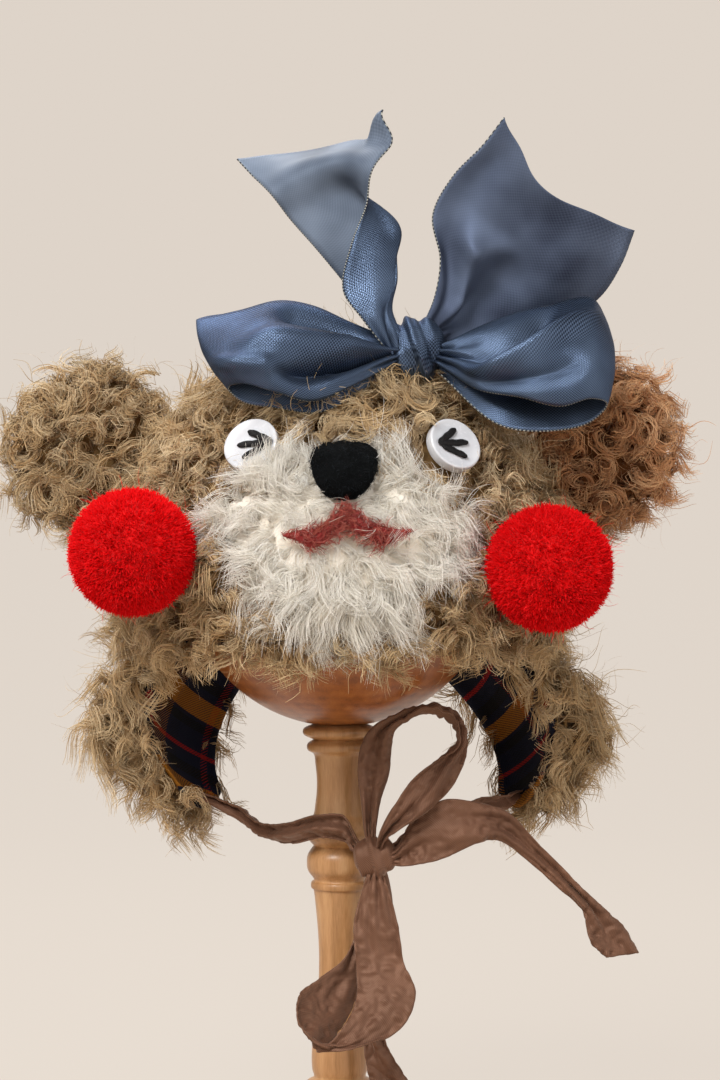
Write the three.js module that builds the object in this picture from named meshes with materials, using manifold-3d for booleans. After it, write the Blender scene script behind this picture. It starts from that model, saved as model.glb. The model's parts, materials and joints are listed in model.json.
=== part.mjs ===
// A bear-face bonnet for a fashion doll, worn by a turned wooden display head.
// Millimetres, +Z up, the face looks along -Y. The origin is the centre of the base's underside.
import * as THREE from "three";
import { mergeVertices } from "three/addons/utils/BufferGeometryUtils.js";
import Module from "manifold-3d";

const wasm = await Module();
wasm.setup();

// Clearances
const SEAM_GAP = 0.3; // between pieces that lie on or are sewn to each other
const EAR_GAP = 0.6; // ear root to crown, so that the ear can flop
const WELD = 1e-3; // corners closer than this are one corner

// Stand
const BASE_RADIUS = 45;
const BASE_HEIGHT = 14;
const BASE_EDGE = 5; // height of the upright edge
const BASE_COLLAR = 15; // radius of the raised middle that the post stands on
const TENON_RADIUS = 3.8;
const TENON_LENGTH = 9;
const PEG_RADIUS = 4;
const PEG_LENGTH = 20;
const BALL_RADIUS = 42;
const BALL_SEAT_RADIUS = 9.1; // of the flat under the ball
const PEG_CLEARANCE = 0.3;
const WOOD_CHAMFER = 1;

// Turned features of the post from the ball down: [kind, largest or waist radius, length]
const POST_FEATURES = [
  ["bead", 10, 4.2],
  ["bead", 8.9, 4],
  ["cove", 6.2, 16],
  ["vase", 8.9, 8.5],
  ["bead", 8.9, 9],
  ["bead", 7.8, 3.2],
  ["cove", 5.6, 38],
  ["vase", 7.6, 12],
  ["bead", 9.4, 5],
];
const POST_NECK = 7; // radius between two features
const POST_FOOT = 11; // radius of the foot that meets the base
const POST_FOOT_EDGE = 2; // height of the foot's upright edge
const POST_FOOT_LENGTH = 15.5;
const POST_FOOT_WAIST = { in: 0.3, up: 0.45 }; // shares of the way from the neck, from the edge
const POST_SIDES = 18;
const TURNED_SIDES = 32;

// Bonnet
const HEAD_ROOM = 3.5; // ball to lining, all round
const TOP_ROOM = 0.45; // ball to lining, at the top
const LINING_THICKNESS = 1.2;
const INNER_FALL = 260; // how slowly the lining narrows below the widest line
const CROWN_PILE = { wide: 12, front: 6, back: 10, tall: 17.55 }; // depth of the fur
const CROWN_FALL = 95; // how slowly the crown narrows below the widest line
const RIM_FRONT = -19; // heights from the ball's centre
const RIM_SIDE = -20.5;
const RIM_BACK = -26;

// Muzzle
const MUZZLE = { x: 0.4, z: 5.5, halfWidth: 36, halfHeight: 26, power: 2.3 };
const MUZZLE_NARROWING = 0.57; // share of the width lost at the top
const MUZZLE_EDGE = 2.5;
const MUZZLE_CENTRE = 12;
const MUZZLE_SWELL = { reach: 2.2, fall: 0.8 }; // powers of the swell's profile
const MUZZLE_GRID = { rings: 6, sides: 28 };
const NOSE = { x: 1.5, z: 24.8, halfWidth: 8, halfHeight: 7, flare: 0.2, thickness: 6 };
const NOSE_POWER = 2.6;
const NOSE_GRID = { rings: 4, sides: 20 };
const NOSE_EDGE = 2.2;
const NOSE_GAP = 0.5; // the nose sits in the pile, over the muzzle's facets
const MOUTH_THICKNESS = 1.6;
const MOUTH_HALF_HEIGHT = 2.9;
const MOUTH_CORNER = 0.4; // share of the half height at the corners
// Centre line of the mouth: [x, z] from the left corner over the middle to the right corner
const MOUTH_LINE = [
  [-13.4, 9.2],
  [-10, 9],
  [-5.6, 8.4],
  [-1, 11.4],
  [2, 13.4],
  [6, 11.6],
  [10.6, 9],
  [14.6, 9.4],
  [18.2, 10.4],
];

// Eyes
const EYE_RADIUS = 7.2;
const EYE_THICKNESS = 2.8;
const EYE_ROUNDING = 1.3;
const EYE_BACK_CHAMFER = 0.6;
const EYE_SIDES = 24;
const STITCH_THICKNESS = 0.9;
const STITCH_HALF_WIDTH = 0.75;
// Stitches run between two points [x, z] on the eye's face
const EYES = {
  left: {
    x: -21.1,
    z: 30.8,
    stitches: [
      [[5.4, 0.6], [-0.5, 3.1]],
      [[5.4, 0.2], [-2.6, -0.6]],
      [[5, -0.4], [-0.6, -4]],
    ],
  },
  right: {
    x: 28.2,
    z: 31,
    stitches: [
      [[-4.9, 0], [0.3, 3.6]],
      [[-4.6, -0.3], [2.8, 0.1]],
      [[-4, -1.2], [1.3, -3.8]],
    ],
  },
};

// Pompoms, by the place on the crown that each is sewn to
const POMPOM_RADIUS = 16;
const POMPOMS = { left: { x: -40.5, z: 4 }, right: { x: 41.5, z: 0.8 } };

// Ears
const EAR_RADIUS = 22;
const EAR_RIM_HALF = 7.5;
const EAR_ROOT_HALF = 1.6;
const EAR_ROOT = { from: -0.85, to: -0.1 }; // where the root swells to the rim, in ear radii
const EAR_DISH = 2.6;
const EAR_DISH_SHARE = 0.7; // of the ear's radius
const EAR_BACK = 3; // ear's middle plane behind the ball's centre
const EAR_RISE = 22; // degrees that the ear points above the horizontal
const EAR_GRID = { rings: 5, sides: 26 };
// Height of an ear's middle in degrees round the crown, and its distance from the crown
const EARS = {
  left: { side: -1, height: 26, stand: 14.6 },
  right: { side: 1, height: 26.6, stand: 16.5 },
};

// Ear flaps
const FLAP_FRONT = -14; // degrees from the side, towards the back
const FLAP_BACK = 64;
const FLAP_OUT = 10; // degrees of swing away from the head
const FLAP_IN = 6;
const FLAP_SEAM_INSET = 3; // from the lining's inner face to the line that the flap swings about
const FLAP_GAP = 0.35;
const FLAP_BULGE = 9;
const FLAP_FUR = { top: 13, middle: 18, tip: 8, edge: 5 };
const FLAP_TIP_WIDTH = 17;
const FLAP_TIP_ROUND = 3.5;
const FLAP_ROWS = 8;
const FLAP_COLUMNS = 9;
// A flap's length, and how far its tip lies out from the rim and towards the back
const FLAPS = {
  left: { side: -1, length: 42, lean: -4.8, shift: -0.2 },
  right: { side: 1, length: 41.5, lean: 3.9, shift: -6.5 },
};

// Blue bow: stations along the ribbon, each [edge, middle, edge] from the centre of the knot
const BOW_RIBBON = 1;
const BOW_SEAT = [18, -24.5]; // x, y of the place on the crown under the knot
const BOW_KNOT = [5.8, 5.8, 7.4];
const BOW_CLEAR = 1.3; // ribbon's middle to crown
const BOW_LEFT_LOOP = [
  [[-4.8, -3.9, -2.8], [-5.1, -4.2, -0.8], [-5, -3.8, 1.6]],
  [[-16.9, -15, -10.3], [-16.9, -13, -2.3], [-17, 0, 6.9]],
  [[-26.9, -19, -14.3], [-26.4, -17, -1.9], [-27, 2, 11.5]],
  [[-36.1, -21, -11.9], [-36.4, -19, -0.5], [-35.3, 2, 12.8]],
  [[-44.1, -19, -9.8], [-46.9, -18, -2], [-45.8, 0, 10]],
  [[-47.9, -14, -10.7], [-54.1, -11, -2.2], [-56.5, 2, 6.8]],
  [[-44.5, -12, -13.9], [-49, -7, -2.6], [-52.5, 8, 7.9]],
  [[-35.1, -13, -15.7], [-37.4, -6, -2.6], [-36.5, 13, 11]],
  [[-25, -15, -16.8], [-24.6, -6, -3.6], [-24.9, 11, 8.7]],
  [[-5, -0.8, -5], [-6, -0.2, -3.2], [-6.4, 0.4, -1.2]],
];
const BOW_RIGHT_LOOP = [
  [[4.8, -3.9, -3.6], [5.3, -3.9, -1.5], [5.6, -3, 0.6]],
  [[15.3, -15, -11.3], [16.3, -15, -3.2], [16.6, -3, 5.9]],
  [[25, -20, -13.3], [26.1, -19, -2], [27.3, -1, 9.9]],
  [[34.9, -21, -15.6], [35.1, -19, -1], [36.6, 0, 12.3]],
  [[42.5, -20, -13.6], [44.7, -17, -1.4], [45, 1, 13.2]],
  [[47.2, -15, -14.8], [49.6, -9, -2.8], [48, 3, 8.5]],
  [[43.1, -13, -19.2], [43.9, -5, -4.5], [42.6, 9, 9.5]],
  [[32.4, -14, -21.5], [32.5, -4, -6], [33.7, 12, 9.3]],
  [[20.4, -14, -20], [21.5, -4, -6.5], [22.8, 10, 6.5]],
  [[5, -1, -5.6], [5.9, 0, -3.6], [6.4, 1.1, -1.4]],
];
const BOW_LEFT_TAIL = [
  [[-5.3, -1.5, 4.2], [-3.2, -2, 6.7], [-2.8, 1.6, 7.3]],
  [[-14, -8.5, 7], [-6.7, -5, 9.7], [-11.8, 3, 9.5]],
  [[-19, -7, 14.7], [-4.4, -3, 18.2], [-18.5, 5, 17.5]],
  [[-16.9, -6, 26.3], [-6.6, 1, 30.5], [-25.8, 5, 26.3]],
  [[-12.9, -4, 36.8], [-17.5, 4, 40.5], [-33.1, 4, 34.5]],
  [[-8.7, -3, 48.4], [-24, 5, 49.7], [-40.2, 2, 42.8]],
  [[-5.7, -2, 57.8], [-26.6, 5, 53.3], [-46.6, 0, 50.2]],
];
const BOW_RIGHT_TAIL = [
  [[2, -1.4, 7.9], [4, -1.5, 6.2], [5.3, 1.1, 4.2]],
  [[4.9, 1, 13.9], [9.5, 4, 10], [13, 9, 5.5]],
  [[6, 2, 23.7], [13, 8, 15], [23, 15, 7.5]],
  [[4, 5, 34.4], [19, 9, 22], [36, 17, 9.5]],
  [[9, 6, 44], [24, 9, 30], [47.8, 15, 14.8]],
  [[16.5, 9, 51.6], [29, 12, 38], [53.2, 15, 22.8]],
  [[21.8, 10, 58.3], [32.5, 14, 41.1], [56.5, 16, 31.6]],
];

// Brown ribbon ties: stations [edge, edge] from the centre of their knot
const TIE_RIBBON = 1.2;
const TIE_KNOT = [5, 4, 5.5];
const TIE_KNOT_PLACE = [9.3, -16, -33]; // x, y, and z below the ball's underside
// Where a tie starts on its flap: shares of the way back and down, and the gap to the lining
const TIE_START = { across: 0.42, upper: 0.88, lower: 0.97, gap: 0.5 };
const LEFT_TIE = [
  [[-35.8, 26, 10.3], [-36.8, 28, 6]],
  [[-29.6, 20, 6.6], [-30.5, 22, 1.8]],
  [[-22.6, 11, 7.7], [-22.7, 12.5, 1.7]],
  [[-14.5, 3, 10.8], [-14, 3.4, 4.4]],
  [[-8, 1.6, 10.6], [-8, 2, 3.5]],
  [[-4.4, 1.2, 4.3], [-5.6, 1.3, 1]],
];
const RIGHT_TIE = [
  [[36.4, 24, 13.5], [35.7, 26, 8.7]],
  [[29, 19, 13.2], [28.6, 21, 8.4]],
  [[21.5, 13, 12.3], [21.6, 15, 4.3]],
  [[13.3, 7, 10.8], [13.4, 9, 0.5]],
  [[4.7, 1.9, 3.2], [5.3, 2.1, -1]],
];
const UPPER_LOOP = [
  [[-2.5, -0.6, 5.8], [0.2, -0.8, 6.2]],
  [[-3.4, 0.6, 14.6], [1.4, 0, 14.6]],
  [[-4.4, 1.5, 21.9], [3.7, 0.5, 22]],
  [[-3.6, 1.5, 28.8], [4.2, 0.5, 28.3]],
  [[-0.7, 0, 33.7], [5.5, -2, 33.4]],
  [[6.6, -0.5, 37.2], [9.7, -4, 36.4]],
  [[14.5, -1, 39.4], [15.4, -5, 38.2]],
  [[21.3, -1, 37.6], [20.1, -5, 35.8]],
  [[24.4, -2, 32.3], [20.9, -6, 30.8]],
  [[23.8, -3, 26.4], [16.4, -5, 26.1]],
  [[20.6, -5, 19.6], [9.9, -6, 20.9]],
  [[13.5, -6.5, 12.5], [4.6, -6.4, 13.6]],
  [[3.6, -4.6, 6.2], [1.2, -4.6, 6.6]],
];
const LOWER_LOOP = [
  [[-2.4, -2.2, -5.8], [2.6, -2.2, -5.6]],
  [[-5.5, -4, -17.4], [6, -4, -17.4]],
  [[-4.9, -6, -27.5], [7.5, -5, -26.9]],
  [[-4.7, -9, -34.7], [10.6, -7, -34.3]],
  [[-7.5, -13, -40.9], [6.9, -11, -42.6]],
  [[-13.6, -16, -46.4], [-3.4, -15, -46.6]],
  [[-20.3, -15, -40], [-14.7, -14, -48.1]],
  [[-19.9, -11, -34.3], [-11.1, -8, -46.5]],
  [[-14.8, -6, -30.9], [-7.8, -3, -42.4]],
  [[-7.8, -1, -25.7], [-3.4, 0.5, -33.9]],
  [[-3.4, 1.5, -15.7], [0.3, 2, -18.4]],
  [[-1.4, 1.4, -6.6], [1, 1.4, -6.8]],
];
const SIDE_TAIL = [
  [[5.3, -1.8, 2.4], [5.3, -1.8, -2]],
  [[9.6, -2, 9.4], [9.6, -3, -1.9]],
  [[18.2, -3, 15.2], [18.2, -4, 0.2]],
  [[27.4, -3, 14.3], [26.6, -4, 4]],
  [[34.8, -2, 11.8], [32.2, -2, 4.5]],
  [[42.7, -1, 3.6], [40.6, -1, -1.4]],
  [[49.9, 0, -3.6], [47.5, 0, -7.6]],
  [[55.9, 0.5, -9.7], [54.4, 1, -14.3]],
  [[61.4, 3, -15.1], [55.4, 0, -18]],
  [[65.8, 4, -19.5], [56.3, -1, -22.3]],
  [[69.3, 3, -25.9], [60.6, 0, -26.4]],
];
const DOWN_TAIL = [
  [[0, 3.2, -5], [3, 3, -4.6]],
  [[-0.2, 4.5, -20.1], [5.1, 4, -20]],
  [[-1, 5, -36], [4.3, 3.5, -35.7]],
  [[-2.6, 4, -49], [2.4, 2.5, -48.7]],
  [[-1.3, 3, -59.9], [8.7, 1.5, -59.5]],
  [[0.3, 1, -69.3], [11.3, 1, -67.7]],
];

const vec = (x, y, z) => new THREE.Vector3(x, y, z);
const asVector = ([x, y, z]) => vec(x, y, z);
const lerp = THREE.MathUtils.lerp;
const smoothstep = THREE.MathUtils.smoothstep;
const radians = THREE.MathUtils.degToRad;

// Collects triangles, and leaves out the empty ones where a grid meets in a pole.
class Skin {
  constructor() {
    this.corners = [];
  }

  triangle(a, b, c) {
    const empty =
      a.distanceTo(b) < WELD || b.distanceTo(c) < WELD || c.distanceTo(a) < WELD;
    if (!empty) this.corners.push(a, b, c);
  }

  quad(a, b, c, d) {
    this.triangle(a, b, c);
    this.triangle(a, c, d);
  }

  geometry() {
    return closed(new THREE.BufferGeometry().setFromPoints(this.corners));
  }
}

function signedVolume(position) {
  const [a, b, c] = [vec(0, 0, 0), vec(0, 0, 0), vec(0, 0, 0)];
  let sum = 0;
  for (let i = 0; i < position.count; i += 3) {
    a.fromBufferAttribute(position, i);
    b.fromBufferAttribute(position, i + 1);
    c.fromBufferAttribute(position, i + 2);
    sum += a.dot(b.cross(c)) / 6;
  }
  return sum;
}

// The same surface with its shared corners merged and its faces pointing out.
function closed(geometry) {
  const loose = geometry.index ? geometry.toNonIndexed() : geometry;
  const position = loose.getAttribute("position");
  const bare = new THREE.BufferGeometry().setAttribute("position", position);
  const merged = mergeVertices(bare, WELD);
  if (signedVolume(position) < 0) {
    merged.index.array.reverse();
  }
  merged.computeVertexNormals();
  return merged;
}

// A wall between an outer and an inner grid of points: rows of equal length, round or open.
function wall(outer, inner, round = false) {
  const skin = new Skin();
  const rows = outer.length - 1;
  const columns = outer[0].length;
  const lastColumn = round ? columns : columns - 1;
  for (let i = 0; i < rows; i++) {
    for (let j = 0; j < lastColumn; j++) {
      const k = (j + 1) % columns;
      skin.quad(outer[i][j], outer[i + 1][j], outer[i + 1][k], outer[i][k]);
      skin.quad(inner[i][j], inner[i][k], inner[i + 1][k], inner[i + 1][j]);
    }
    if (!round) {
      const n = columns - 1;
      skin.quad(outer[i + 1][0], outer[i][0], inner[i][0], inner[i + 1][0]);
      skin.quad(outer[i][n], outer[i + 1][n], inner[i + 1][n], inner[i][n]);
    }
  }
  for (let j = 0; j < lastColumn; j++) {
    const k = (j + 1) % columns;
    skin.quad(outer[0][j], outer[0][k], inner[0][k], inner[0][j]);
    skin.quad(outer[rows][k], outer[rows][j], inner[rows][j], inner[rows][k]);
  }
  return skin.geometry();
}

// A solid of revolution about Z from [radius, height] points that start and end on the axis.
function turned(points, sides = TURNED_SIDES) {
  const profile = points.map(([radius, height]) => new THREE.Vector2(radius, height));
  return closed(new THREE.LatheGeometry(profile, sides).rotateX(Math.PI / 2));
}

function toSolid(geometry) {
  const merged = closed(geometry);
  return new wasm.Manifold(
    new wasm.Mesh({
      numProp: 3,
      vertProperties: merged.getAttribute("position").array,
      triVerts: Uint32Array.from(merged.index.array),
    }),
  );
}

function fromSolid(solid) {
  const mesh = solid.getMesh();
  const geometry = new THREE.BufferGeometry();
  geometry.setAttribute("position", new THREE.BufferAttribute(mesh.vertProperties, 3));
  geometry.setIndex(new THREE.BufferAttribute(mesh.triVerts, 1));
  return closed(geometry);
}

function cutBy(geometry, tools) {
  const left = tools.reduce((solid, tool) => solid.subtract(toSolid(tool)), toSolid(geometry));
  return fromSolid(left);
}

// Points of one turned feature, going up, as [radius, height above its lower end].
function turnedFeature(kind, radius, length) {
  const steps = kind === "bead" ? 4 : 6;
  const points = [];
  for (let i = 0; i <= steps; i++) {
    const share = i / steps;
    const swell = kind === "vase" ? Math.sin(Math.PI * share ** 0.8) : Math.sin(Math.PI * share);
    const power = kind === "bead" ? 0.6 : 1;
    points.push([lerp(POST_NECK, radius, Math.max(swell, 0) ** power), length * share]);
  }
  return points;
}

// Heights above the floor: the post's foot, its shoulder under the ball, and the ball's centre.
const POST_BOTTOM = BASE_HEIGHT + SEAM_GAP;
const FEATURED_LENGTH = POST_FEATURES.reduce((sum, [, , length]) => sum + length, 0);
const POST_SHOULDER = POST_BOTTOM + POST_FOOT_LENGTH + FEATURED_LENGTH;
const BALL_SEAT_DEPTH = Math.sqrt(BALL_RADIUS ** 2 - BALL_SEAT_RADIUS ** 2);
const BALL_CENTRE_HEIGHT = POST_SHOULDER + SEAM_GAP + BALL_SEAT_DEPTH;

function standPost() {
  const edge = POST_BOTTOM + POST_FOOT_EDGE;
  const tenonEnd = POST_BOTTOM - TENON_LENGTH;
  let height = POST_BOTTOM + POST_FOOT_LENGTH;
  const waist = [
    lerp(POST_NECK, POST_FOOT, POST_FOOT_WAIST.in),
    lerp(edge, height, POST_FOOT_WAIST.up),
  ];
  const points = [
    [0, tenonEnd],
    [TENON_RADIUS, tenonEnd],
    [TENON_RADIUS, POST_BOTTOM],
    [POST_FOOT, POST_BOTTOM],
    [POST_FOOT, edge],
    waist,
  ];
  for (const [kind, radius, length] of [...POST_FEATURES].reverse()) {
    for (const [r, up] of turnedFeature(kind, radius, length).slice(0, -1)) {
      points.push([r, height + up]);
    }
    height += length;
  }
  points.push([POST_NECK, POST_SHOULDER]);
  points.push([PEG_RADIUS, POST_SHOULDER]);
  points.push([PEG_RADIUS, POST_SHOULDER + PEG_LENGTH - WOOD_CHAMFER]);
  points.push([PEG_RADIUS - WOOD_CHAMFER, POST_SHOULDER + PEG_LENGTH]);
  points.push([0, POST_SHOULDER + PEG_LENGTH]);
  return turned(points, POST_SIDES);
}

function standBase() {
  const socket = TENON_RADIUS + PEG_CLEARANCE;
  const points = [
    [0, BASE_HEIGHT - TENON_LENGTH],
    [socket, BASE_HEIGHT - TENON_LENGTH],
    [socket, BASE_HEIGHT],
    [BASE_COLLAR, BASE_HEIGHT],
  ];
  const steps = 8;
  for (let i = 1; i <= steps; i++) {
    const share = i / steps;
    const radius = lerp(BASE_COLLAR, BASE_RADIUS - WOOD_CHAMFER, share);
    const drop = (1 - Math.cos(Math.PI * share)) / 2;
    points.push([radius, lerp(BASE_HEIGHT, BASE_EDGE, drop)]);
  }
  points.push([BASE_RADIUS, BASE_EDGE - WOOD_CHAMFER]);
  points.push([BASE_RADIUS, WOOD_CHAMFER]);
  points.push([BASE_RADIUS - WOOD_CHAMFER, 0]);
  points.push([0, 0]);
  return turned(points);
}

// The ball, from its own centre, with a flat seat and a blind hole for the post's peg.
function headBall() {
  const bore = PEG_RADIUS + PEG_CLEARANCE;
  const boreTop = -BALL_SEAT_DEPTH + PEG_LENGTH;
  const points = [
    [0, boreTop],
    [bore, boreTop],
    [bore, -BALL_SEAT_DEPTH],
  ];
  const start = Math.acos(-BALL_SEAT_DEPTH / BALL_RADIUS);
  const steps = 14;
  for (let i = 0; i <= steps; i++) {
    const tilt = lerp(start, 0, i / steps);
    points.push([BALL_RADIUS * Math.sin(tilt), BALL_RADIUS * Math.cos(tilt)]);
  }
  return turned(points);
}

function grown(dome, by) {
  return {
    ...dome,
    wide: dome.wide + by,
    front: dome.front + by,
    back: dome.back + by,
    tall: dome.tall + by,
  };
}

const LINING_INSIDE = {
  wide: BALL_RADIUS + HEAD_ROOM,
  front: BALL_RADIUS + HEAD_ROOM,
  back: BALL_RADIUS + HEAD_ROOM,
  tall: BALL_RADIUS + TOP_ROOM,
  fall: INNER_FALL,
};
const LINING_OUTSIDE = grown(LINING_INSIDE, LINING_THICKNESS);
const CROWN_INSIDE = grown(LINING_OUTSIDE, SEAM_GAP);
const CROWN = {
  wide: CROWN_INSIDE.wide + CROWN_PILE.wide,
  front: CROWN_INSIDE.front + CROWN_PILE.front,
  back: CROWN_INSIDE.back + CROWN_PILE.back,
  tall: CROWN_INSIDE.tall + CROWN_PILE.tall,
  fall: CROWN_FALL,
};

// Height of the bonnet's rim at an angle round Z from +X.
function rimHeight(angle) {
  const s = Math.sin(angle);
  const back = smoothstep(s, Math.sin(radians(FLAP_BACK + 2)), 1);
  const front = smoothstep(-s, 0.3, 0.8);
  return RIM_SIDE + (RIM_BACK - RIM_SIDE) * back + (RIM_FRONT - RIM_SIDE) * front;
}

// A point of a dome's ring at the given height from the ball's centre.
function domePoint(dome, angle, height) {
  const reach = height > 0 ? dome.tall : dome.fall;
  const share = Math.sqrt(Math.max(0, 1 - (height / reach) ** 2));
  const depth = Math.sin(angle) < 0 ? dome.front : dome.back;
  return vec(share * dome.wide * Math.cos(angle), share * depth * Math.sin(angle), height);
}

const DOME_SIDES = 32;
const DOME_ROWS = 7;
const RIM_ROWS = 2;

function domeGrid(dome, lowest = rimHeight) {
  const rows = [];
  for (let i = 0; i <= DOME_ROWS + RIM_ROWS; i++) {
    const row = [];
    for (let j = 0; j < DOME_SIDES; j++) {
      const angle = (2 * Math.PI * j) / DOME_SIDES;
      const height =
        i <= DOME_ROWS
          ? dome.tall * Math.cos((Math.PI / 2) * (i / DOME_ROWS))
          : lowest(angle) * ((i - DOME_ROWS) / RIM_ROWS);
      row.push(domePoint(dome, angle, height));
    }
    rows.push(row);
  }
  return rows;
}

// A closed block that fills a dome down to the given height, for cutting with.
function domeBlock(dome, lowest) {
  const outer = domeGrid(dome, () => lowest);
  const core = outer.map((row) => row.map((point) => vec(0, 0, point.z)));
  return wall(outer, core, true);
}

// Depth of a dome's front at x and z.
function frontOf(dome, x, z) {
  const reach = z > 0 ? dome.tall : dome.fall;
  return -dome.front * Math.sqrt(Math.max(0, 1 - (x / dome.wide) ** 2 - (z / reach) ** 2));
}

// Outward direction of the crown at one of its points.
function crownNormal(point) {
  const depth = point.y < 0 ? CROWN.front : CROWN.back;
  const reach = point.z > 0 ? CROWN.tall : CROWN.fall;
  return vec(point.x / CROWN.wide ** 2, point.y / depth ** 2, point.z / reach ** 2).normalize();
}

function crownSeat({ x, z }) {
  return vec(x, frontOf(CROWN, x, z), z);
}

// A pad between two depth functions of x and z, over an outline given by angle.
function pad(outline, backDepth, frontDepth, { rings, sides }) {
  const grid = (depth) => {
    const rows = [];
    for (let i = 0; i <= rings; i++) {
      const share = Math.sin((Math.PI / 2) * (i / rings));
      const row = [];
      for (let j = 0; j < sides; j++) {
        const { x, z } = outline((2 * Math.PI * j) / sides, share);
        row.push(vec(x, depth(x, z, share), z));
      }
      rows.push(row);
    }
    return rows;
  };
  return wall(grid(frontDepth), grid(backDepth), true);
}

function superPower(value, power) {
  return Math.sign(value) * Math.abs(value) ** (2 / power);
}

function muzzleOutline(angle, share) {
  const up = superPower(Math.sin(angle), MUZZLE.power);
  const narrow = 1 - MUZZLE_NARROWING * Math.max(up, 0) ** 1.5;
  const side = superPower(Math.cos(angle), MUZZLE.power) * narrow;
  return {
    x: MUZZLE.x + share * side * MUZZLE.halfWidth,
    z: MUZZLE.z + share * up * MUZZLE.halfHeight,
  };
}

// How far out from its middle a place on the muzzle lies, 1 at the outline.
function muzzleShare(x, z) {
  const up = Math.min(1, Math.abs(z - MUZZLE.z) / MUZZLE.halfHeight);
  const narrow = z > MUZZLE.z ? 1 - MUZZLE_NARROWING * up ** 1.5 : 1;
  const side = Math.abs(x - MUZZLE.x) / (MUZZLE.halfWidth * narrow);
  return Math.min(1, (up ** MUZZLE.power + side ** MUZZLE.power) ** (1 / MUZZLE.power));
}

function muzzleFront(x, z) {
  const swell = (1 - muzzleShare(x, z) ** MUZZLE_SWELL.reach) ** MUZZLE_SWELL.fall;
  const thickness = lerp(MUZZLE_EDGE, MUZZLE_CENTRE, swell);
  return frontOf(CROWN, x, z) - SEAM_GAP - thickness;
}

function muzzle() {
  const back = (x, z) => frontOf(CROWN, x, z) - SEAM_GAP;
  const body = pad(muzzleOutline, back, muzzleFront, MUZZLE_GRID);
  const pompoms = Object.values(POMPOMS).map((place) =>
    pompomBall(place, POMPOM_RADIUS + SEAM_GAP),
  );
  return cutBy(body, pompoms);
}

function noseOutline(angle, share) {
  const up = superPower(Math.sin(angle), NOSE_POWER);
  const side = superPower(Math.cos(angle), NOSE_POWER) * (1 + NOSE.flare * up);
  return {
    x: NOSE.x + share * side * NOSE.halfWidth,
    z: NOSE.z + share * up * NOSE.halfHeight,
  };
}

function nose() {
  const back = (x, z) => muzzleFront(x, z) - NOSE_GAP;
  const middle = muzzleFront(NOSE.x, NOSE.z);
  const front = (x, z, share) =>
    (middle + back(x, z)) / 2 - lerp(NOSE_EDGE, NOSE.thickness, Math.sqrt(1 - share ** 2));
  return pad(noseOutline, back, front, NOSE_GRID);
}

function mouth() {
  const line = new THREE.CatmullRomCurve3(MOUTH_LINE.map(([x, z]) => vec(x, 0, z)));
  const steps = 20;
  const levels = [1, 0.5, 0, -0.5, -1];
  const grids = [[], []];
  for (let i = 0; i <= steps; i++) {
    const share = i / steps;
    const point = line.getPoint(share);
    const half = MOUTH_HALF_HEIGHT * lerp(MOUTH_CORNER, 1, Math.sin(Math.PI * share) ** 0.7);
    const rows = levels.map((level) => {
      const z = point.z + half * level;
      const back = muzzleFront(point.x, z) - SEAM_GAP;
      const thickness = MOUTH_THICKNESS * lerp(0.5, 1, 1 - level ** 2);
      return [vec(point.x, back - thickness, z), vec(point.x, back, z)];
    });
    grids[0].push(rows.map(([front]) => front));
    grids[1].push(rows.map(([, back]) => back));
  }
  return wall(grids[0], grids[1]);
}

// Turns +Z to the crown's outward direction, with the piece's +Y kept as upright as it can be.
function faceOutward(mesh, seat, lift) {
  const normal = crownNormal(seat);
  const across = vec(0, 0, 1).cross(normal).normalize();
  const upright = normal.clone().cross(across);
  mesh.quaternion.setFromRotationMatrix(new THREE.Matrix4().makeBasis(across, upright, normal));
  mesh.position.copy(seat).addScaledVector(normal, lift);
}

function eyeDisc() {
  const points = [
    [0, 0],
    [EYE_RADIUS - EYE_BACK_CHAMFER, 0],
    [EYE_RADIUS, EYE_BACK_CHAMFER],
  ];
  const steps = 2;
  for (let i = 0; i <= steps; i++) {
    const turn = (Math.PI / 2) * (i / steps);
    points.push([
      EYE_RADIUS - EYE_ROUNDING * (1 - Math.cos(turn)),
      EYE_THICKNESS - EYE_ROUNDING * (1 - Math.sin(turn)),
    ]);
  }
  points.push([0, EYE_THICKNESS]);
  return turned(points, EYE_SIDES);
}

function stitchBar([[x1, y1], [x2, y2]]) {
  const [start, end] = [new THREE.Vector2(x1, y1), new THREE.Vector2(x2, y2)];
  const along = end.clone().sub(start).angle();
  const outline = new THREE.Shape();
  const ahead = along - Math.PI / 2;
  outline.absarc(end.x, end.y, STITCH_HALF_WIDTH, ahead, ahead + Math.PI, false);
  outline.absarc(start.x, start.y, STITCH_HALF_WIDTH, ahead + Math.PI, ahead + 2 * Math.PI, false);
  return new THREE.ExtrudeGeometry(outline, {
    depth: STITCH_THICKNESS,
    bevelEnabled: false,
    curveSegments: 4,
  });
}

function eyeStitches(stitches) {
  const bars = stitches.map((bar) => toSolid(stitchBar(bar)));
  return fromSolid(bars.reduce((sum, bar) => sum.add(bar)));
}

function pompomCentre(place) {
  const seat = crownSeat(place);
  return seat.addScaledVector(crownNormal(seat), POMPOM_RADIUS + SEAM_GAP);
}

function pompomBall(place, radius) {
  const centre = pompomCentre(place);
  return new THREE.IcosahedronGeometry(radius, 3).translate(centre.x, centre.y, centre.z);
}

// The middle of an ear, out from the crown along a ray from the ball's centre.
function earCentre({ side, height, stand }) {
  const ray = vec(side * Math.cos(radians(height)), 0, Math.sin(radians(height)));
  const crown = 1 / Math.hypot(ray.x / CROWN.wide, ray.z / CROWN.tall);
  return ray.multiplyScalar(crown + stand).add(vec(0, EAR_BACK, 0));
}

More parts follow.
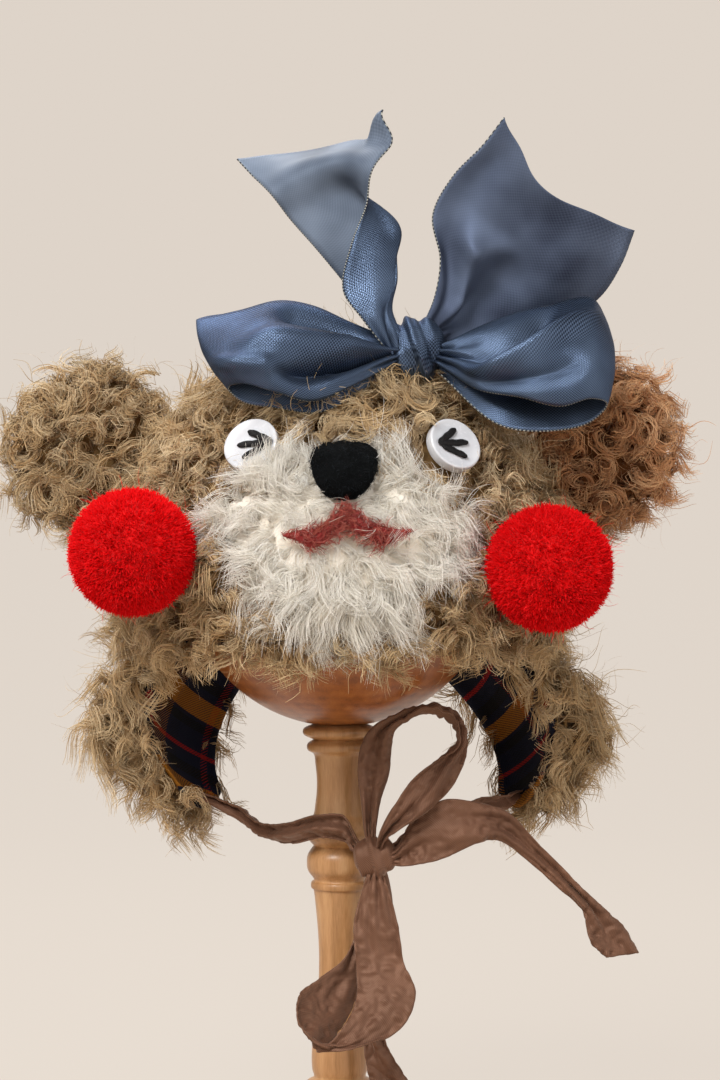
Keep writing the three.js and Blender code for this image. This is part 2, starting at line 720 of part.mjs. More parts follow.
function ear(place) {
  const { side } = place;
  const { rings, sides } = EAR_GRID;
  const middle = earCentre(place);
  const rise = radians(EAR_RISE);
  const outward = vec(side * Math.cos(rise), 0, Math.sin(rise));
  const up = vec(-side * Math.sin(rise), 0, Math.cos(rise));
  const rootAt = (reach) => smoothstep(reach, EAR_ROOT.from, EAR_ROOT.to);
  const halfThickness = (share, reach) =>
    lerp(EAR_ROOT_HALF, EAR_RIM_HALF, rootAt(reach)) * Math.sqrt(Math.max(0.12, 1 - share ** 4));
  const grid = (facing) => {
    const rows = [];
    for (let i = 0; i <= rings; i++) {
      const share = Math.sin((Math.PI / 2) * (i / rings));
      const row = [];
      for (let j = 0; j < sides; j++) {
        const turn = (2 * Math.PI * j) / sides;
        const reach = share * Math.cos(turn);
        const hollow = Math.max(0, 1 - (share / EAR_DISH_SHARE) ** 2);
        const dish = facing < 0 ? EAR_DISH * hollow * rootAt(reach) : 0;
        const depth = facing * (halfThickness(share, reach) - dish);
        const point = middle.clone().addScaledVector(outward, EAR_RADIUS * reach);
        point.addScaledVector(up, EAR_RADIUS * share * Math.sin(turn));
        row.push(point.add(vec(0, depth, 0)));
      }
      rows.push(row);
    }
    return rows;
  };
  const disc = wall(grid(-1), grid(1), true);
  return cutBy(disc, [domeBlock(grown(CROWN, EAR_GAP), RIM_SIDE)]);
}

// A point of a flap: u runs from its front to its back, v from the rim to the tip, and out is
// the distance from the lining's inner face.
function flapPoint({ side, length, lean, shift }, u, v, out) {
  const azimuth = radians(lerp(FLAP_FRONT, FLAP_BACK, u));
  const middle = radians((FLAP_FRONT + FLAP_BACK) / 2);
  const outward = vec(Math.cos(middle), Math.sin(middle), 0);
  const along = vec(-Math.sin(middle), Math.cos(middle), 0);
  const radial = vec(Math.cos(azimuth), Math.sin(azimuth), 0);

  const top = radial.clone().multiplyScalar(LINING_INSIDE.wide + out);
  const offset = top.dot(outward) - (LINING_INSIDE.wide - FLAP_SEAM_INSET);
  const swing = offset > 0 ? FLAP_OUT : FLAP_IN;
  top.z = RIM_SIDE - FLAP_GAP - Math.abs(offset) * Math.sin(radians(swing));

  const bottom = outward.clone().multiplyScalar(LINING_INSIDE.wide + lean + out);
  bottom.addScaledVector(along, shift + (u - 0.5) * FLAP_TIP_WIDTH);
  bottom.z = RIM_SIDE - length - FLAP_TIP_ROUND * Math.sin(Math.PI * u);

  const point = top.lerp(bottom, v);
  const swell = radial.lerp(outward, v).normalize();
  point.addScaledVector(swell, FLAP_BULGE * Math.sin(Math.PI * v) ** 0.9);
  point.x *= side;
  return point;
}

function flapGrid(flap, outAt) {
  const rows = [];
  for (let i = 0; i <= FLAP_ROWS; i++) {
    const row = [];
    for (let j = 0; j <= FLAP_COLUMNS; j++) {
      const [u, v] = [j / FLAP_COLUMNS, i / FLAP_ROWS];
      row.push(flapPoint(flap, u, v, outAt(u, v)));
    }
    rows.push(row);
  }
  return rows;
}

function flapFurThickness(u, v) {
  const down = v < 0.5
    ? lerp(FLAP_FUR.top, FLAP_FUR.middle, smoothstep(v, 0, 0.45))
    : lerp(FLAP_FUR.middle, FLAP_FUR.tip, smoothstep(v, 0.5, 1));
  return lerp(FLAP_FUR.edge, down, Math.sqrt(Math.sin(Math.PI * u)));
}

function flapFur(flap) {
  const inside = LINING_THICKNESS + SEAM_GAP;
  return wall(
    flapGrid(flap, (u, v) => inside + flapFurThickness(u, v)),
    flapGrid(flap, () => inside),
  );
}

function flapLining(flap) {
  return wall(
    flapGrid(flap, () => LINING_THICKNESS),
    flapGrid(flap, () => 0),
  );
}

// Keeps a point of the bow off the crown.
function clearOfCrown(point) {
  const shell = grown(CROWN, BOW_CLEAR);
  const depth = point.y < 0 ? shell.front : shell.back;
  const reach = point.z > 0 ? shell.tall : shell.fall;
  const size = Math.hypot(point.x / shell.wide, point.y / depth, point.z / reach);
  return size < 1 ? point.divideScalar(size) : point;
}

// A ribbon through stations of two or three points each, placed from an origin.
function ribbon(stations, { origin, thickness, steps, across, place = (point) => point }) {
  const lines = stations[0].map((_, k) =>
    new THREE.CatmullRomCurve3(
      stations.map((station) => asVector(station[k]).add(origin)),
      false,
      "centripetal",
    ),
  );
  const middle = [];
  for (let i = 0; i <= steps; i++) {
    const knots = lines.map((line) => line.getPoint(i / steps));
    const row = [];
    for (let j = 0; j <= across; j++) {
      const s = j / across;
      const weights = knots.length === 3
        ? [(1 - s) * (1 - 2 * s), 4 * s * (1 - s), s * (2 * s - 1)]
        : [1 - s, s];
      const point = vec(0, 0, 0);
      knots.forEach((knot, k) => point.addScaledVector(knot, weights[k]));
      row.push(place(point));
    }
    middle.push(row);
  }
  const offset = (distance) =>
    middle.map((row, i) =>
      row.map((point, j) => {
        const [above, below] = [middle[Math.max(i - 1, 0)][j], middle[Math.min(i + 1, steps)][j]];
        const [left, right] = [row[Math.max(j - 1, 0)], row[Math.min(j + 1, across)]];
        const along = below.clone().sub(above);
        const normal = right.clone().sub(left).cross(along).normalize();
        return point.clone().addScaledVector(normal, distance);
      }),
    );
  return wall(offset(thickness / 2), offset(-thickness / 2));
}

function bowKnotCentre() {
  const [x, y] = BOW_SEAT;
  const z = CROWN.tall * Math.sqrt(1 - (x / CROWN.wide) ** 2 - (y / CROWN.front) ** 2);
  const seat = vec(x, y, z);
  const normal = crownNormal(seat);
  const rest = asVector(BOW_KNOT).multiply(normal).length();
  return seat.addScaledVector(normal, rest + SEAM_GAP);
}

function bowRibbon(stations, steps) {
  return ribbon(stations, {
    origin: bowKnotCentre(),
    thickness: BOW_RIBBON,
    steps,
    across: 4,
    place: clearOfCrown,
  });
}

function knotBlock([x, y, z], centre) {
  const block = new THREE.SphereGeometry(1, 12, 8);
  return closed(block.scale(x, y, z).translate(centre.x, centre.y, centre.z));
}

function tieKnotCentre() {
  const [x, y, below] = TIE_KNOT_PLACE;
  return vec(x, y, below - BALL_RADIUS);
}

function tieRibbon(stations, steps) {
  return ribbon(stations, {
    origin: tieKnotCentre(),
    thickness: TIE_RIBBON,
    steps,
    across: 2,
  });
}

// The first station of a tie: on the inner face of its flap's lining, near the tip.
function tieStart(flap) {
  return [TIE_START.upper, TIE_START.lower].map((down) => {
    const point = flapPoint(flap, TIE_START.across, down, -TIE_START.gap - TIE_RIBBON / 2);
    return point.sub(tieKnotCentre()).toArray();
  });
}

const COLOURS = {
  ballWood: [0x9a5c32, 0.45],
  postWood: [0xc89258, 0.5],
  tanFur: [0x9c8157, 0.95],
  redFur: [0x8c6440, 0.95],
  creamFur: [0xe4dccb, 0.95],
  lining: [0x1c2038, 0.9],
  noseFelt: [0x14171a, 0.95],
  mouthFibre: [0xa8303c, 0.95],
  eyeWhite: [0xe8ebf2, 0.25],
  blackThread: [0x17151b, 0.7],
  redWool: [0xc8141a, 0.95],
  blueRibbon: [0x47648f, 0.55],
  brownRibbon: [0x6b4b3c, 0.7],
};

function piece(name, geometry, colour) {
  const [color, roughness] = COLOURS[colour];
  const material = new THREE.MeshStandardMaterial({ color, roughness, metalness: 0 });
  const mesh = new THREE.Mesh(geometry, material);
  mesh.name = name;
  return mesh;
}

function stand() {
  const group = new THREE.Group();
  group.add(piece("stand_base", standBase(), "postWood"));
  group.add(piece("stand_post", standPost(), "postWood"));
  return group;
}

function face() {
  const group = new THREE.Group();
  group.add(piece("muzzle", muzzle(), "creamFur"));
  group.add(piece("nose", nose(), "noseFelt"));
  group.add(piece("mouth", mouth(), "mouthFibre"));
  for (const [side, eye] of Object.entries(EYES)) {
    const seat = crownSeat(eye);
    const disc = piece(`${side}_eye`, eyeDisc(), "eyeWhite");
    faceOutward(disc, seat, SEAM_GAP);
    const thread = piece(`${side}_eye_stitches`, eyeStitches(eye.stitches), "blackThread");
    faceOutward(thread, seat, EYE_THICKNESS + 2 * SEAM_GAP);
    group.add(disc, thread);
  }
  for (const [side, place] of Object.entries(POMPOMS)) {
    group.add(piece(`${side}_pompom`, closed(pompomBall(place, POMPOM_RADIUS)), "redWool"));
  }
  return group;
}

function bonnet() {
  const group = new THREE.Group();
  const lining = wall(domeGrid(LINING_OUTSIDE), domeGrid(LINING_INSIDE), true);
  const crown = wall(domeGrid(CROWN), domeGrid(CROWN_INSIDE), true);
  group.add(piece("hat_lining", lining, "lining"));
  group.add(piece("hat_crown", crown, "tanFur"));
  group.add(piece("left_ear", ear(EARS.left), "tanFur"));
  group.add(piece("right_ear", ear(EARS.right), "redFur"));
  for (const [side, flap] of Object.entries(FLAPS)) {
    group.add(piece(`${side}_flap`, flapFur(flap), "tanFur"));
    group.add(piece(`${side}_flap_lining`, flapLining(flap), "lining"));
  }
  return group;
}

function bow() {
  const group = new THREE.Group();
  group.add(piece("bow_knot", knotBlock(BOW_KNOT, bowKnotCentre()), "blueRibbon"));
  group.add(piece("bow_left_loop", bowRibbon(BOW_LEFT_LOOP, 22), "blueRibbon"));
  group.add(piece("bow_right_loop", bowRibbon(BOW_RIGHT_LOOP, 22), "blueRibbon"));
  group.add(piece("bow_left_tail", bowRibbon(BOW_LEFT_TAIL, 14), "blueRibbon"));
  group.add(piece("bow_right_tail", bowRibbon(BOW_RIGHT_TAIL, 12), "blueRibbon"));
  return group;
}

function ties() {
  const group = new THREE.Group();
  const leftTie = [tieStart(FLAPS.left), ...LEFT_TIE];
  const rightTie = [tieStart(FLAPS.right), ...RIGHT_TIE];
  group.add(piece("tie_knot", knotBlock(TIE_KNOT, tieKnotCentre()), "brownRibbon"));
  group.add(piece("left_tie", tieRibbon(leftTie, 18), "brownRibbon"));
  group.add(piece("right_tie", tieRibbon(rightTie, 16), "brownRibbon"));
  group.add(piece("tie_upper_loop", tieRibbon(UPPER_LOOP, 30), "brownRibbon"));
  group.add(piece("tie_lower_loop", tieRibbon(LOWER_LOOP, 30), "brownRibbon"));
  group.add(piece("tie_side_tail", tieRibbon(SIDE_TAIL, 24), "brownRibbon"));
  group.add(piece("tie_down_tail", tieRibbon(DOWN_TAIL, 14), "brownRibbon"));
  return group;
}

const head = new THREE.Group();
head.position.z = BALL_CENTRE_HEIGHT;
head.add(piece("head_ball", headBall(), "ballWood"));
head.add(bonnet(), face(), bow(), ties());

const displayHead = new THREE.Group();
displayHead.add(stand(), head);

export default displayHead;
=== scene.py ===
"""A plush bear bonnet with a ribbon bow, worn by a turned wooden display head."""

from __future__ import annotations

import json
import logging
import math
from collections.abc import Callable, Sequence
from dataclasses import dataclass, field
from enum import Enum
from itertools import product

import bmesh
import bpy
import numpy as np
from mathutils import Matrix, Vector, noise
from mathutils.bvhtree import BVHTree

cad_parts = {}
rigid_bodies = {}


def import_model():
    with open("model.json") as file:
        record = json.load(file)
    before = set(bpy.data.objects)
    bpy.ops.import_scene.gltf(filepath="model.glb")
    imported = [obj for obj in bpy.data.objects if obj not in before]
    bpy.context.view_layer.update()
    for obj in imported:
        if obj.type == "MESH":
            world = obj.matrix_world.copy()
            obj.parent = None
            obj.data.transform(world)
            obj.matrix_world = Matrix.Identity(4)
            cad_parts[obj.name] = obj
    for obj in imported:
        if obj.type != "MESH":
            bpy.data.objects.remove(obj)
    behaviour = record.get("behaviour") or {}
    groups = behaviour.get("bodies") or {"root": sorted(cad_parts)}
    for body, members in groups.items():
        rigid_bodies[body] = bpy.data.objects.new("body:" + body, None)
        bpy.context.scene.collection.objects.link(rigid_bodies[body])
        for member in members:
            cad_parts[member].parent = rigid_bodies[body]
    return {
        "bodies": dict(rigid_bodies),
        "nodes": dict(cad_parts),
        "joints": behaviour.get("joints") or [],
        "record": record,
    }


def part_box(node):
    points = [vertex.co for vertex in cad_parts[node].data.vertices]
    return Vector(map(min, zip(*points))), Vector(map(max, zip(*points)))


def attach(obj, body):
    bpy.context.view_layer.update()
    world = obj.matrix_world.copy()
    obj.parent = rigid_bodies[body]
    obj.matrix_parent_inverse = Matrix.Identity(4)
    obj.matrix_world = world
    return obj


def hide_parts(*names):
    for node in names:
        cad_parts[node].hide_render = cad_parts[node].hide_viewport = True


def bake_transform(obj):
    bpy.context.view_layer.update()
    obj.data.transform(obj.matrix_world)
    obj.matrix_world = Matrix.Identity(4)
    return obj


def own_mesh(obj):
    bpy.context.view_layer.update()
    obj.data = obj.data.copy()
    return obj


LOG = logging.getLogger("bonnet")

MM = 0.001
WELD = 0.00001
BALL_SIDES = 32
UP = np.array([0.0, 0.0, 1.0])
Pair = tuple[float, float]
Row = tuple[float, float, float]
Station = tuple[Row, ...]
Move = Callable[[np.ndarray], np.ndarray]


def linear(hex_colour: str) -> tuple[float, float, float, float]:
    """Turn a colour as it is seen into the shader's linear values.

    Args:
        hex_colour: six hexadecimal digits.

    Returns:
        Red, green, blue and an alpha of 1.
    """
    parts = [int(hex_colour[i : i + 2], 16) / 255 for i in (0, 2, 4)]
    values = [((c + 0.055) / 1.055) ** 2.4 if c > 0.04045 else c / 12.92 for c in parts]
    return (values[0], values[1], values[2], 1.0)


def smoothstep(value: np.ndarray | float, low: float, high: float) -> np.ndarray | float:
    """Rise smoothly from 0 at low to 1 at high."""
    share = np.clip((value - low) / (high - low), 0, 1)
    return share * share * (3 - 2 * share)


def unit(vectors: np.ndarray) -> np.ndarray:
    """Scale each vector of the last axis to length 1."""
    length = np.linalg.norm(vectors, axis=-1, keepdims=True)
    return vectors / np.maximum(length, 1e-12)


def deselect() -> None:
    """Leave nothing selected."""
    bpy.ops.object.select_all(action="DESELECT")


def select_only(*objects: bpy.types.Object) -> None:
    """Make objects the only ones selected, and the first one active.

    Args:
        objects: what to select.
    """
    deselect()
    for obj in objects:
        obj.select_set(True)
    bpy.context.view_layer.objects.active = objects[0]


def linked(name: str, data: bpy.types.ID) -> bpy.types.Object:
    """Make an object, linked to the scene.

    Args:
        name: the object's name.
        data: its mesh, curve, lamp or camera.

    Returns:
        The new object.
    """
    obj = bpy.data.objects.new(name, data)
    bpy.context.collection.objects.link(obj)
    return obj


def primitive(name: str, add: Callable[..., set[str]], **settings: object) -> bpy.types.Object:
    """Add a primitive with nothing else selected.

    Args:
        name: the new object's name.
        add: the operator that adds it.
        settings: the operator's values.

    Returns:
        The new object.
    """
    deselect()
    add(**settings)
    obj = bpy.context.active_object
    obj.name = name
    return obj


def apply_modifier(obj: bpy.types.Object, kind: str, **settings: object) -> None:
    """Add a modifier with its settings to an object and apply it.

    Args:
        obj: the mesh object.
        kind: the modifier's type.
        settings: values to set on the modifier.
    """
    select_only(obj)
    modifier = obj.modifiers.new(kind.title(), kind)
    for name, value in settings.items():
        setattr(modifier, name, value)
    bpy.ops.object.modifier_apply(modifier=modifier.name)


def smooth(obj: bpy.types.Object, degrees: float = 180) -> None:
    """Shade a mesh smooth, apart from edges sharper than an angle."""
    select_only(obj)
    bpy.ops.object.shade_smooth_by_angle(angle=math.radians(degrees))


def subdivide(obj: bpy.types.Object, cuts: int) -> None:
    """Divide each edge of a mesh and round what lies between.

    Args:
        obj: the mesh object.
        cuts: new corners on each edge.
    """
    select_only(obj)
    bpy.ops.object.mode_set(mode="EDIT")
    bpy.ops.mesh.select_all(action="SELECT")
    bpy.ops.mesh.subdivide(number_cuts=cuts, smoothness=1.0)
    bpy.ops.object.mode_set(mode="OBJECT")


def points_of(obj: bpy.types.Object, value: str = "co") -> np.ndarray:
    """Read the places of a mesh's corners, or the ways that they face.

    Args:
        obj: the mesh object.
        value: co or normal.

    Returns:
        Rows of x, y and z.
    """
    flat = np.empty(len(obj.data.vertices) * 3)
    obj.data.vertices.foreach_get(value, flat)
    return flat.reshape(-1, 3)


def set_points(obj: bpy.types.Object, points: np.ndarray) -> None:
    """Write an array of rows back to a mesh's corners."""
    obj.data.vertices.foreach_set("co", points.ravel())
    obj.data.update()


def middle_and_half(node: str) -> tuple[np.ndarray, np.ndarray]:
    """Read the middle and the half size of a CAD node's box."""
    low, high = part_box(node)
    return np.array((low + high) / 2), np.array((high - low) / 2)


def run_along(line: np.ndarray) -> np.ndarray:
    """Measure how far along a line each of its points lies."""
    return np.concatenate([[0], np.cumsum(np.linalg.norm(np.diff(line, axis=0), axis=1))])


def wobble(points: np.ndarray, scale: float, seed: float) -> np.ndarray:
    """Sample smooth noise at points.

    Args:
        points: rows of x, y and z.
        scale: how many bumps fit in a metre.
        seed: moves the pattern.

    Returns:
        One value from about -1 to 1 for each point.
    """
    shift = Vector((seed, -seed, seed * 0.5))
    return np.array([noise.noise(Vector(p) * scale + shift) for p in points])


def mesh_object(name: str, points: np.ndarray, quads: np.ndarray) -> bpy.types.Object:
    """Make a mesh from four-sided faces.

    Args:
        name: the piece's name.
        points: rows of x, y and z.
        quads: rows of four corner numbers.

    Returns:
        The new object, linked to the scene.
    """
    mesh = bpy.data.meshes.new(name)
    mesh.vertices.add(len(points))
    mesh.vertices.foreach_set("co", np.asarray(points, np.float32).ravel())
    mesh.loops.add(quads.size)
    mesh.loops.foreach_set("vertex_index", quads.ravel().astype(np.int32))
    mesh.polygons.add(len(quads))
    mesh.polygons.foreach_set("loop_start", np.arange(0, quads.size, 4, dtype=np.int32))
    mesh.polygons.foreach_set("use_smooth", np.ones(len(quads), bool))
    mesh.update(calc_edges=True)
    return linked(name, mesh)


def merged_copy(node: str, name: str) -> bpy.types.Object:
    """Copy a CAD node's mesh with its loose corners merged and no material.

    Args:
        node: the CAD node.
        name: the copy's name.

    Returns:
        The copy, linked to the scene.
    """
    mesh = FRAME["nodes"][node].data.copy()
    mesh.name = name
    mesh.materials.clear()
    solid = bmesh.new()
    solid.from_mesh(mesh)
    bmesh.ops.remove_doubles(solid, verts=solid.verts, dist=WELD)
    solid.to_mesh(mesh)
    solid.free()
    return linked(name, mesh)


class Nodes:
    """Places and links the nodes of one tree."""

    def __init__(self, tree: bpy.types.NodeTree) -> None:
        """Keep the tree to add to."""
        self.tree = tree

    def put(self, socket: bpy.types.NodeSocket, value: object) -> None:
        """Give a socket a value, or link another socket to it.

        Args:
            socket: an input.
            value: a value, or an output to link.
        """
        if isinstance(value, bpy.types.NodeSocket):
            self.tree.links.new(value, socket)
        else:
            socket.default_value = value

    def fill(self, node: bpy.types.Node, **values: object) -> bpy.types.Node:
        """Set a node's properties and inputs by name.

        Args:
            node: the node.
            values: a property, or an input's value or link, with _ for each space in its name.

        Returns:
            The same node.
        """
        for name, value in values.items():
            if hasattr(node, name):
                setattr(node, name, value)
            else:
                self.put(node.inputs[name.replace("_", " ")], value)
        return node

    def add(self, kind: str, **values: object) -> bpy.types.Node:
        """Add a node of a kind, with its properties and inputs by name."""
        node = self.tree.nodes.new(kind)
        return self.fill(node, location=(len(self.tree.nodes) * 180, 0), **values)

    def group(self, name: str, **values: object) -> bpy.types.NodeOutputs:
        """Place one of the shared groups, and return its outputs."""
        return self.add("ShaderNodeGroup", node_tree=GROUPS[name], **values).outputs

    def math(self, operation: str, *values: object) -> bpy.types.NodeSocket:
        """Combine up to three values.

        Args:
            operation: the operation's name.
            values: values or sockets.

        Returns:
            The result's socket.
        """
        node = self.add("ShaderNodeMath", operation=operation)
        for socket, value in zip(node.inputs, values):
            self.put(socket, value)
        return node.outputs[0]

    def mix(self, share: object, a: object, b: object, blend: str = "MIX") -> bpy.types.NodeSocket:
        """Mix two colours.

        Args:
            share: how much of the second.
            a: the first.
            b: the second.
            blend: the kind of mix.

        Returns:
            The result's socket.
        """
        node = self.add("ShaderNodeMix", data_type="RGBA", blend_type=blend)
        for index, value in ((0, share), (6, a), (7, b)):
            self.put(node.inputs[index], value)
        return node.outputs[2]

    def ramp(self, value: object, stops: Sequence[tuple[float, str]]) -> bpy.types.NodeSocket:
        """Turn a value into a colour.

        Args:
            value: from 0 to 1.
            stops: pairs of a value and its colour.

        Returns:
            The colour's socket.
        """
        node = self.add("ShaderNodeValToRGB")
        self.put(node.inputs[0], value)
        elements = node.color_ramp.elements
        while len(elements) < len(stops):
            elements.new(0.5)
        for element, (place, colour) in zip(elements, stops):
            element.position = place
            element.color = linear(colour)
        return node.outputs[0]

    def noise(self, vector: object, scale: float, detail: float = 3.0) -> bpy.types.NodeSocket:
        """Sample noise at a vector, and return the value's socket."""
        return self.add("ShaderNodeTexNoise", Vector=vector, Scale=scale, Detail=detail).outputs[0]

    def bump(self, height: object, strength: float, distance: float) -> bpy.types.NodeSocket:
        """Turn a height into a normal, and return its socket."""
        return self.add("ShaderNodeBump", Height=height, Strength=strength, Distance=distance).outputs[0]

    def place(self) -> bpy.types.NodeSocket:
        """Read the place on the object."""
        return self.add("ShaderNodeTexCoord").outputs["Object"]

    def cloth(self) -> tuple[bpy.types.NodeSocket, bpy.types.NodeSocket]:
        """Read how far across and along its cloth a place lies, in millimetres."""
        uv = self.add("ShaderNodeUVMap", uv_map="cloth").outputs[0]
        return tuple(self.add("ShaderNodeSeparateXYZ", Vector=uv).outputs[:2])

    def backdrop_rays(self) -> bpy.types.NodeSocket:
        """Mark the camera's rays, and those that gloss or clear matter sends on."""
        rays = self.add("ShaderNodeLightPath").outputs
        onward = self.math("MAXIMUM", rays["Is Glossy Ray"], rays["Is Transmission Ray"])
        return self.math("MAXIMUM", rays["Is Camera Ray"], onward)


def new_group(
    name: str, inputs: Sequence[str], outputs: Sequence[str]
) -> tuple[Nodes, bpy.types.NodeOutputs, bpy.types.NodeInputs]:
    """Start a shader node group. Its sockets hold values, but for one named Vector.

    Args:
        name: the group's name.
        inputs: the names of what it is given.
        outputs: the names of what it gives.

    Returns:
        The builder, the sockets it is given and those it gives.
    """
    tree = bpy.data.node_groups.new(name, "ShaderNodeTree")
    for way, sockets in (("INPUT", inputs), ("OUTPUT", outputs)):
        for socket in sockets:
            kind = "NodeSocketVector" if socket == "Vector" else "NodeSocketFloat"
            tree.interface.new_socket(socket, in_out=way, socket_type=kind)
    nodes = Nodes(tree)
    return nodes, nodes.add("NodeGroupInput").outputs, nodes.add("NodeGroupOutput").inputs


def weave_group() -> bpy.types.NodeTree:
    """Make the over-and-under pattern of woven threads.

    Returns:
        A group with a height and a mask of the threads that lie on top.
    """
    nodes, given, result = new_group("woven threads", ("Across", "Along", "Pitch"), ("Height", "Over"))
    turns = nodes.math("DIVIDE", math.pi, given["Pitch"])
    across = nodes.math("SINE", nodes.math("MULTIPLY", given["Across"], turns))
    along = nodes.math("SINE", nodes.math("MULTIPLY", given["Along"], turns))
    crossed = nodes.math("MULTIPLY", across, along)
    nodes.put(result["Height"], nodes.math("ABSOLUTE", crossed))
    nodes.put(result["Over"], nodes.math("MULTIPLY_ADD", crossed, 0.5, 0.5))
    return nodes.tree


def grain_group() -> bpy.types.NodeTree:
    """Make wood grain that runs along Z, with pores and slow streaks.

    Returns:
        A group with a tone from 0 to 1 and a height.
    """
    nodes, given, result = new_group("wood grain", ("Vector", "Scale"), ("Tone", "Height"))
    scaled = nodes.add("ShaderNodeVectorMath", operation="SCALE", Vector=given["Vector"])
    nodes.fill(scaled, Scale=given["Scale"])
    streaks = nodes.add("ShaderNodeMapping", Vector=scaled.outputs[0], Scale=(1.0, 1.0, 0.09)).outputs[0]
    wide = nodes.noise(streaks, 0.35, 4.0)
    fine = nodes.noise(streaks, 2.6, 5.0)
    rings = nodes.add("ShaderNodeTexWave", wave_type="RINGS", rings_direction="Z")
    nodes.fill(rings, Vector=streaks, Scale=0.12, Distortion=3.0)
    tone = nodes.math("MULTIPLY_ADD", fine, 0.3, nodes.math("MULTIPLY", wide, 0.62))
    nodes.put(result["Tone"], nodes.math("MULTIPLY_ADD", rings.outputs[1], 0.08, tone))
    nodes.put(result["Height"], fine)
    return nodes.tree


def stripe_group() -> bpy.types.NodeTree:
    """Make the stripes of one thread direction of a tartan.

    Returns:
        A group with masks of the ochre, the red and the black threads.
    """
    nodes, given, result = new_group("tartan stripes", ("Place", "Repeat"), ("Ochre", "Red", "Black"))
    share = nodes.math("FRACT", nodes.math("DIVIDE", given["Place"], given["Repeat"]))

    def band(centre: float, half: float) -> bpy.types.NodeSocket:
        """Mark the stripe that lies within half of a centre."""
        distance = nodes.math("ABSOLUTE", nodes.math("SUBTRACT", share, centre))
        return nodes.math("LESS_THAN", distance, half)

    nodes.put(result["Ochre"], band(0.2, 0.11))
    nodes.put(result["Red"], band(0.7, 0.025))
    nodes.put(result["Black"], nodes.math("MAXIMUM", band(0.4, 0.05), band(0.96, 0.09)))
    return nodes.tree


class Finish:
    """The base of each finish: a material with one Principled shader, and light let through."""

    name: str
    sheer: float = 0.0

    def build(self) -> bpy.types.Material:
        """Make the material.

        Returns:
            The material, with its shader linked.
        """
        material = bpy.data.materials.new(self.name)
        material.use_nodes = True
        material.node_tree.nodes.clear()
        nodes = Nodes(material.node_tree)
        shader = nodes.add("ShaderNodeBsdfPrincipled")
        output = nodes.add("ShaderNodeOutputMaterial", Surface=shader.outputs[0])
        colour = self.dress(nodes, shader)
        if self.sheer:
            through = nodes.add("ShaderNodeBsdfTranslucent", Color=colour)
            both = nodes.add("ShaderNodeMixShader", Fac=self.sheer)
            nodes.put(both.inputs[1], shader.outputs[0])
            nodes.put(both.inputs[2], through.outputs[0])
            nodes.put(output.inputs["Surface"], both.outputs[0])
        return material

    def dress(self, nodes: Nodes, shader: bpy.types.Node) -> bpy.types.NodeSocket | None:
        """Set the shader's sockets, and return the colour of the light that comes through."""
        raise NotImplementedError


@dataclass(frozen=True)
class WoodFinish(Finish):
    """Turned, waxed wood."""

    name: str
    dark: str
    middle: str
    light: str
    roughness: float = 0.42
    coat: float = 0.25

    def dress(self, nodes: Nodes, shader: bpy.types.Node) -> None:
        """Colour the grain and let the wax shine.

        Args:
            nodes: the material's tree.
            shader: its shader.
        """
        place = nodes.place()
        grain = nodes.group("grain", Vector=place, Scale=1000.0)
        nodes.fill(
            shader,
            Base_Color=nodes.ramp(grain["Tone"], [(0.28, self.dark), (0.5, self.middle), (0.72, self.light)]),
            Roughness=nodes.math("MULTIPLY_ADD", nodes.noise(place, 90.0, 2.0), 0.3, self.roughness - 0.15),
            Coat_Weight=self.coat,
            Coat_Roughness=0.3,
            Normal=nodes.bump(grain["Height"], 0.25, 0.0002),
        )


@dataclass(frozen=True)
class PileFinish(Finish):
    """Curly or cut pile, coloured lock by lock from root to tip."""

    name: str
    root: str
    middle: str
    tip: str
    pale: str
    sheen: float = 0.2
    shades: float = 0.6
    gloss: float = 0.3
    sheer: float = 0.35

    def dress(self, nodes: Nodes, shader: bpy.types.Node) -> bpy.types.NodeSocket:
        """Read each strand's tone and the way to its tip.

        Args:
            nodes: the material's tree.
            shader: its shader.

        Returns:
            The colour of the light let through.
        """
        drawn = nodes.add("ShaderNodeAttribute", attribute_name="pile").outputs["Color"]
        pale, along, bright = nodes.add("ShaderNodeSeparateColor", Color=drawn).outputs[:3]
        # From a dark root to a pale tip: partly the fibre's own colour, and partly painted shade deep in the
        # pile with a painted highlight on the tips.
        colour = nodes.ramp(along, [(0.0, self.root), (0.35, self.middle), (0.95, self.tip)])
        colour = nodes.mix(nodes.math("POWER", pale, 1.6), colour, linear(self.pale))
        shade = nodes.math("MULTIPLY_ADD", bright, 1 - self.shades, self.shades)
        grey = nodes.add("ShaderNodeCombineColor", Red=shade, Green=shade, Blue=shade)
        colour = nodes.mix(1.0, colour, grey.outputs[0], "MULTIPLY")
        nodes.fill(
            shader, Base_Color=colour, Roughness=0.6, Sheen_Weight=self.sheen, Specular_IOR_Level=self.gloss
        )
        return colour


@dataclass(frozen=True)
class GroundFinish(Finish):
    """The matted ground under the pile."""

    name: str
    dark: str
    light: str
    gloss: float = 0.4

    def dress(self, nodes: Nodes, shader: bpy.types.Node) -> None:
        """Colour and roughen the ground with two sizes of noise.

        Args:
            nodes: the material's tree.
            shader: its shader.
        """
        place = nodes.place()
        broad = nodes.noise(place, 240.0, 6.0)
        nodes.fill(
            shader,
            Base_Color=nodes.ramp(broad, [(0.35, self.dark), (0.65, self.light)]),
            Roughness=0.95,
            Specular_IOR_Level=self.gloss,
            Normal=nodes.bump(nodes.noise(place, 900.0, 4.0), 0.8, 0.0006),
        )


